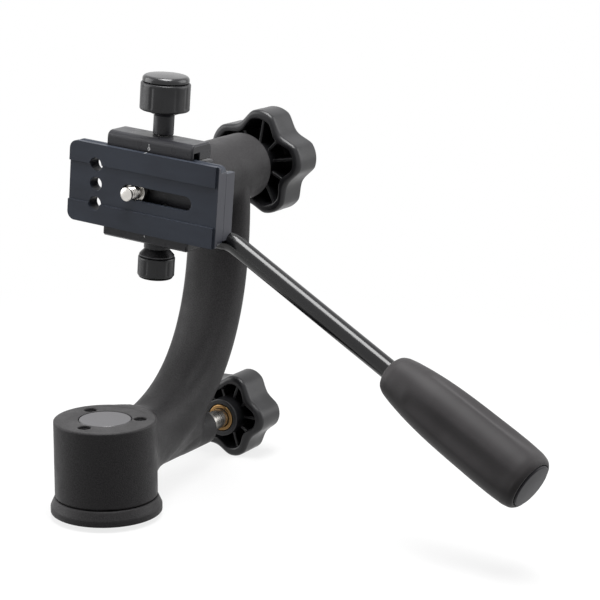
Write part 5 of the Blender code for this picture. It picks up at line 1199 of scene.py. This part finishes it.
section = [(FRONT, TOP), (34.8, TOP), (34.8, 16.0), (35.2, 16.0), (38.0, STEP_TOP), (REAR, STEP_TOP)]
section += [(x, -z) for x, z in reversed(section)]
waste = []
for y, half, radius, low, high in (     # rounded corners: place, rounding and reach through the plate
        (FAR_END, TOP, 4.0, FRONT - 1, REAR + 1),
        (NEAR_END, TOP, 1.0, FRONT - 1, 34.9),
        (NEAR_END, STEP_TOP, 3.6, 34.95, REAR + 1)):
    waste += [corner_waste(y, z, radius, low, high) for z in (half, -half)]
for outline, low, high in (             # sunk band, short raised bands, slot and the screw head's slot
        (box_points(NEAR_END - 1, FAR_END + 1, -9.3, 9.3), FRONT - 1, FRONT + 1.0),
        (box_points(NEAR_END - 1, NEAR_END + 1.2, 9.2, 9.2 + 11.0), FRONT - 1, FRONT + 0.99),
        (box_points(NEAR_END - 1, NEAR_END + 1.2, -20.2, -20.2 + 11.0), FRONT - 1, FRONT + 0.99),
        (slot_outline(-26.4, 12.0, 3.4, SLOT_Z), FRONT - 1, REAR + 1),
        (slot_outline(-28.8, 14.4, 5.8, SLOT_Z), REAR - 4.2, REAR + 1)):
    waste.append(prism(0, outline, low, high))
waste += [prism(0, circle_points(26.6, z, 3.3, 40), FRONT - 1, REAR + 1) for z in (-9.3, 0.0, 9.3)]
plate = cut_shape(prism(1, section, NEAR_END, FAR_END), *waste)
bmesh.ops.transform(plate, matrix=HEAD, verts=plate.verts)
broken_edges("lens_plate_milled", plate, 0.20, extruded, "plate", "lens_plate")

# %% [markdown]
# The bracket behind the plate holds the handle's rod. Its end is milled almost flush with the
# plate's end, and the rod's bore is cut through it.

# %% End of the rod's bracket
rod_bore = prism(1, circle_points(SCREW_AXIS_X, ROD_Z, 4.75, 48), -42.0, -35.0)
bracket_end = cut_shape(prism(1, box_points(39.9, 46.9, -16.3, 15.0), -40.1, -37.0), rod_bore)
bmesh.ops.transform(bracket_end, matrix=HEAD, verts=bracket_end.verts)
# Its end face lies inside the plate finish's lighter end, so it carries the same painted light.
broken_edges("rod_bracket_end", bracket_end, 0.20, extruded, "head")

# %% [markdown]
# ## Small turned pieces
# Bearings, washers, pins, studs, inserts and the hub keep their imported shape. A copy gets smooth
# sides, so that no facet shows in bright steel, and edges broken by a tenth of a millimetre.

# %% Small turned pieces
SMALL_PIECES = {
    "base": ("pan_spindle", "spindle_nut"),
    "arm": ("bearing_carrier", "pan_bearing_lower", "pan_bearing_upper", "top_disc", "tilt_bearing_front",
            "tilt_bearing_rear"),
    "pan_pad": ("pan_brake_pad",),
    "pan_knob": ("pan_lock_stud", "pan_knob_insert"),
    "head": ("tilt_hub", "hub_screw_1", "hub_screw_2", "hub_screw_3", "hub_screw_4", "tilt_axle",
             "tilt_friction_washer", "jaw_guide_pin_1", "jaw_guide_pin_2"),
    "tilt_washer": ("tilt_thrust_washer",),
    "tilt_knob": ("tilt_knob_insert",),
    "jaw_knob": ("clamp_screw",),
    "screw_washer": ("camera_screw_washer",),
    "handle_shoe": ("handle_lock_shoe",),
    "handle_lock": ("handle_lock_screw", "handle_lock_collar"),
}
for body, nodes in SMALL_PIECES.items():
    for node in nodes:
        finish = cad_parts[node].data.materials[0]
        broken_edges(node + "_finished", whole_copy(node), 0.10, finish, body, node)

# %% [markdown]
# ## Round grips
# The clamp's knob and the handle lock's knob are plastic sleeves with shallow upright grooves for
# the fingers, closed by a domed, glossier cap. The sleeve is rings whose radius dips at each groove.

# %% Round grips
GROOVE_DEPTH, GROOVE_SIDES = 0.3, 12


def grooved_grip(radius, low, high, edge, grooves, bore):
    """A sleeve with shallow grooves and rounded rims, in millimetres."""
    def ring(inset, height, share):
        points = []
        for k in range(grooves * GROOVE_SIDES):
            part = (k % GROOVE_SIDES) / GROOVE_SIDES
            near = max(0.0, 1 - abs(part if part < 0.5 else part - 1) * 5.0)
            reach = radius - inset - GROOVE_DEPTH * share * near * near * (3 - 2 * near)
            points.append(on_ring(reach, 2 * math.pi * k / (grooves * GROOVE_SIDES), height))
        return points

    turns = [math.pi * k / 8 for k in range(5)]
    levels = [(edge - edge * math.sin(turn), low + edge - edge * math.cos(turn), 0.0) for turn in turns]
    levels += [(0.0, low + edge + 0.6, 0.6), (0.0, low + edge + 1.2, 1.0)]
    levels += [(0.0, high - edge - 1.2, 1.0), (0.0, high - edge - 0.6, 0.6)]
    levels += [(edge - edge * math.cos(turn), high - edge + edge * math.sin(turn), 0.0) for turn in turns]
    hole = radius - bore
    return loft([ring(hole, low, 0.0)] + [ring(*entry) for entry in levels] + [ring(hole, high, 0.0)])


def domed_cap(radius, low, high, edge):
    """A cap whose rounded edge runs into a slightly domed top."""
    dome = 0.35
    turns = [math.pi * k / 16 for k in range(9)]
    points = [(0.0, low), (radius - 0.3, low), (radius, low + 0.3)]
    points += [(radius - edge + edge * math.cos(turn), high - dome - edge + edge * math.sin(turn))
               for turn in turns]
    points += [((radius - edge) * share, high - dome * share**2) for share in (0.85, 0.6, 0.3)]
    return turned([(reach * MM, height * MM) for reach, height in points + [(0.0, high)]], 96)


AT_SCREW = HEAD @ Matrix.Translation((SCREW_AXIS_X * MM, 0.0, 0.0))
UPSIDE_DOWN = Matrix.Rotation(math.pi, 4, "X")
stem = turned(rounded((
    (3.3, 26.0, 0.0), (4.85, 26.0, 0.3), (4.85, 35.2, 0.8), (8.9, 36.9, 0.3), (8.9, 37.0, 0.0),
    (3.3, 37.0, 0.0))), 72)
fit_at("clamp_knob_grooved", AT_SCREW, grooved_grip(11.6, 37.304, 50.204, 0.9, 12, 3.3), plastic,
       "jaw_knob", "clamp_knob_grip")
fit_at("clamp_knob_dome", AT_SCREW, domed_cap(10.9, 50.5, 53.8, 1.9), glossy_plastic,
       "jaw_knob", "clamp_knob_cap")
fit_at("clamp_knob_turned_stem", AT_SCREW, stem, machined, "jaw_knob", "clamp_knob_stem")
fit_at("handle_lock_grooved", AT_SCREW, grooved_grip(8.7, -41.504, -32.204, 0.7, 10, 2.8), plastic,
       "handle_lock", "handle_lock_grip")
fit_at("handle_lock_dome", AT_SCREW @ UPSIDE_DOWN, domed_cap(8.0, 41.8, 42.8, 0.5), glossy_plastic,
       "handle_lock", "handle_lock_cap")

# %% [markdown]
# ## Pan handle
# The rod is one bar that leaves its bore, bends down and runs straight to the grip. A circle swept
# along its path is the plain way to make it, in a Geometry Nodes tree of its own.

# %% Tree: a round bar on a path


def sweep_tree():
    tree, given = new_tree("round bar on a path", (
        ("Path", "NodeSocketObject"), ("Radius", "NodeSocketFloat"), ("Sides", "NodeSocketInt")))
    path = add_node(tree, "GeometryNodeObjectInfo", links={"Object": given["Path"]})
    circle = add_node(tree, "GeometryNodeCurvePrimitiveCircle",
                      links={"Resolution": given["Sides"], "Radius": given["Radius"]})
    bar = add_node(tree, "GeometryNodeCurveToMesh", values={"Fill Caps": True},
                   links={"Curve": path.outputs["Geometry"], "Profile Curve": circle.outputs[0]})
    add_node(tree, "NodeGroupOutput", links={0: bar.outputs[0]})
    return tree


def swept(points, radius, sides):
    """A round bar along points in metres; radius in millimetres."""
    curve = bpy.data.curves.new("path", "CURVE")
    curve.dimensions = "3D"
    spline = curve.splines.new("POLY")
    spline.points.add(len(points) - 1)
    for target, point in zip(spline.points, points):
        target.co = (*point, 1.0)
    path = linked("path", curve)
    made = run_tree(sweep_tree(), {"Path": path, "Radius": radius * MM, "Sides": sides})
    bpy.data.objects.remove(path)
    bmesh.ops.remove_doubles(made, verts=made.verts, dist=MM / 10000)
    return made


BEND, ROLL, BEND_RADIUS, BEND_STEPS = math.radians(23.7), math.radians(18.4), 12.0, 16
ROD_RADIUS, BEND_Y, ROD_STRAIGHT, ROD_IN_GRIP = 4.6, -38.7, 98.3, 77.9
side = Vector((-math.sin(ROLL), 0.0, -math.cos(ROLL)))
behind = Vector((0.0, -1.0, 0.0))
bend_start = Vector((SCREW_AXIS_X, BEND_Y, ROD_Z))
rod_points = [Vector((SCREW_AXIS_X, 8.5, ROD_Z)), bend_start + Vector((0.0, 4.0, 0.0)), bend_start]
for i in range(1, BEND_STEPS + 1):
    turn = BEND * i / BEND_STEPS
    rod_points.append(bend_start + behind * (BEND_RADIUS * math.sin(turn))
                      + side * (BEND_RADIUS * (1 - math.cos(turn))))
ahead = behind * math.cos(BEND) + side * math.sin(BEND)
grip_start = rod_points[-1] + ahead * ROD_STRAIGHT
rod_points += [rod_points[-1] + ahead * 4.0, grip_start + ahead * ROD_IN_GRIP]
rod = swept([point * MM for point in rod_points], ROD_RADIUS, 64)
fit_at("handle_rod_bent", HEAD, rod, lacquer, "handle", "handle_rod")

# %% [markdown]
# The grip swells from a narrow neck to its widest near the end. Four long shallow flutes fade in
# behind the neck and out before the end. Its radius along the length is a smooth curve through
# shares read from the photograph, and each flute is a dip in the radius with a fade of its own.

# %% Rubber grip
GRIP_LENGTH, GRIP_RADIUS = 81.6, 14.2
FLUTES, FLUTE_DEPTH, FLUTE_TURN = 4, 1.9, math.radians(172.5)
FLUTE_START, FLUTE_END = 0.20, 0.97
GRIP_SIDES = 96
GRIP_SHARES = (         # share of the length, and of the widest radius there
    (0.0, 0.46), (0.012, 0.57), (0.035, 0.66), (0.075, 0.73), (0.14, 0.80), (0.24, 0.88), (0.36, 0.94),
    (0.50, 0.975), (0.64, 0.99), (0.78, 1.0), (0.90, 0.985), (0.96, 0.95), (0.99, 0.88), (1.0, 0.82))


def smooth_curve(knots, count):
    """Shares on a monotone curve through the knots, at even steps of the knots' own spacing."""
    x, y = (np.array(values) for values in zip(*knots))
    slope = np.gradient(y, x)
    out = []
    for i in range(len(x) - 1):
        width = x[i + 1] - x[i]
        for k in range(count):
            s = k / count
            out.append((x[i] + s * width,
                        (2 * s**3 - 3 * s**2 + 1) * y[i] + (s**3 - 2 * s**2 + s) * width * slope[i]
                        + (3 * s**2 - 2 * s**3) * y[i + 1] + (s**3 - s**2) * width * slope[i + 1]))
    return out + [(x[-1], y[-1])]


def grip_skin():
    rings = []
    for share, size in smooth_curve(GRIP_SHARES, 5):
        fade = 0.0
        if FLUTE_START < share < FLUTE_END:
            fade = math.sin(math.pi * (share - FLUTE_START) / (FLUTE_END - FLUTE_START)) ** 0.6
        ring = []
        for k in range(GRIP_SIDES):
            angle = 2 * math.pi * k / GRIP_SIDES
            hollow = max(0.0, math.cos(FLUTES * (angle - FLUTE_TURN))) ** 1.3
            radius = min(GRIP_RADIUS, GRIP_RADIUS * size) - FLUTE_DEPTH * fade * hollow
            ring.append(on_ring(radius, angle, GRIP_LENGTH * share))
        rings.append(ring)
    end = GRIP_RADIUS * GRIP_SHARES[-1][1] - 0.9
    rings += plain_rings(((end, GRIP_LENGTH), (end - 0.1, GRIP_LENGTH - 0.2), (end - 0.1, GRIP_LENGTH - 2.2)),
                         GRIP_SIDES)
    return loft(plain_rings(((4.9, 1.5), (4.9, 0.15), (5.2, 0.0)), GRIP_SIDES) + rings)


GRIP_PLACE = HEAD @ Matrix.Translation(grip_start * MM) @ ahead.to_track_quat("Z", "Y").to_matrix().to_4x4()
end_cap = domed_cap(10.4, GRIP_LENGTH - 1.9, GRIP_LENGTH + 1.2, 0.8)
fit_at("handle_grip_fluted", GRIP_PLACE, grip_skin(), rubber, "handle", "handle_grip")
fit_at("handle_grip_end_cap", GRIP_PLACE, end_cap, cap_rubber, "handle", "handle_end_cap")

# %% [markdown]
# ## Camera screw
# A quarter inch screw sticks out of the plate's slot. Its thread has 20 turns to the inch, so a
# pitch of 1.27 mm, and its tip is chamfered. Behind the plate it has a slotted head.

# %% Camera screw
screw_rings = plain_rings(((0.05, 27.6), (1.6, 27.62), (2.3, 27.72), (2.75, 28.0)))
screw_rings += thread_rings(3.175, 1.27, 28.3, 36.3, 0.42)
screw_rings += plain_rings(((3.1, 36.35), (4.8, 36.8), (4.8, 39.1), (4.6, 39.3), (0.05, 39.3)))
slot_tool = bmesh.new()
bmesh.ops.create_cube(slot_tool, size=1.0)
bmesh.ops.scale(slot_tool, vec=(1.2 * MM, 12 * MM, 2 * MM), verts=slot_tool.verts)
bmesh.ops.translate(slot_tool, vec=(0.0, 0.0, 39.3 * MM), verts=slot_tool.verts)
CAMERA_SCREW_PLACE = HEAD @ Matrix.Translation((0.0, 6.2 * MM, SLOT_Z * MM)) @ LAID
fit_at("camera_screw_threaded", CAMERA_SCREW_PLACE, cut_shape(loft(screw_rings), slot_tool), steel,
       "camera_screw", "camera_screw")

# %% [markdown]
# ## Marks
# A white diamond under a short line shows the jaw's middle, a tick on the plate's upper edge lines
# up with it, and a dot marks the fixed jaw. They are engraved and filled with enamel, so each is a
# very thin raised patch here.

# %% White marks
PROUD = 0.03
JAW_FRONT = 36.0


def patch_on_jaw(outline):
    """A thin patch on the jaws' front face, from (y, z) points in millimetres."""
    return prism(0, outline, JAW_FRONT + 0.2, JAW_FRONT - PROUD), HEAD


def diamond_ring(middle, half_width, half_height, stroke):
    """An open diamond as four bars."""
    tips = [(0.0, half_height), (half_width, 0.0), (0.0, -half_height), (-half_width, 0.0)]
    parts = []
    for (y_one, z_one), (y_two, z_two) in zip(tips, tips[1:] + tips[:1]):
        length = math.hypot(y_two - y_one, z_two - z_one)
        out_y, out_z = (z_two - z_one) / length * stroke / 2, -(y_two - y_one) / length * stroke / 2
        parts.append(patch_on_jaw([
            (y_one + out_y, middle + z_one + out_z), (y_two + out_y, middle + z_two + out_z),
            (y_two - out_y, middle + z_two - out_z), (y_one - out_y, middle + z_one - out_z)]))
    return parts


jaw_marks = diamond_ring(20.55, 0.62, 0.95, 0.30) + [patch_on_jaw(box_points(-0.16, 0.16, 21.4, 22.7))]
fit("jaw_centre_mark", shells(*jaw_marks), paint, "jaw")
tick = prism(2, [(32.5, -0.2), (34.5, -0.2), (34.5, 0.2), (32.5, 0.2)], STEP_TOP, TOP + PROUD)
fit_at("plate_centre_tick", HEAD, tick, paint, "plate")
dot = circle_points(0.0, -20.9, 0.42, 20)
fit("lower_jaw_dot", shells(patch_on_jaw(dot)), paint, "head")
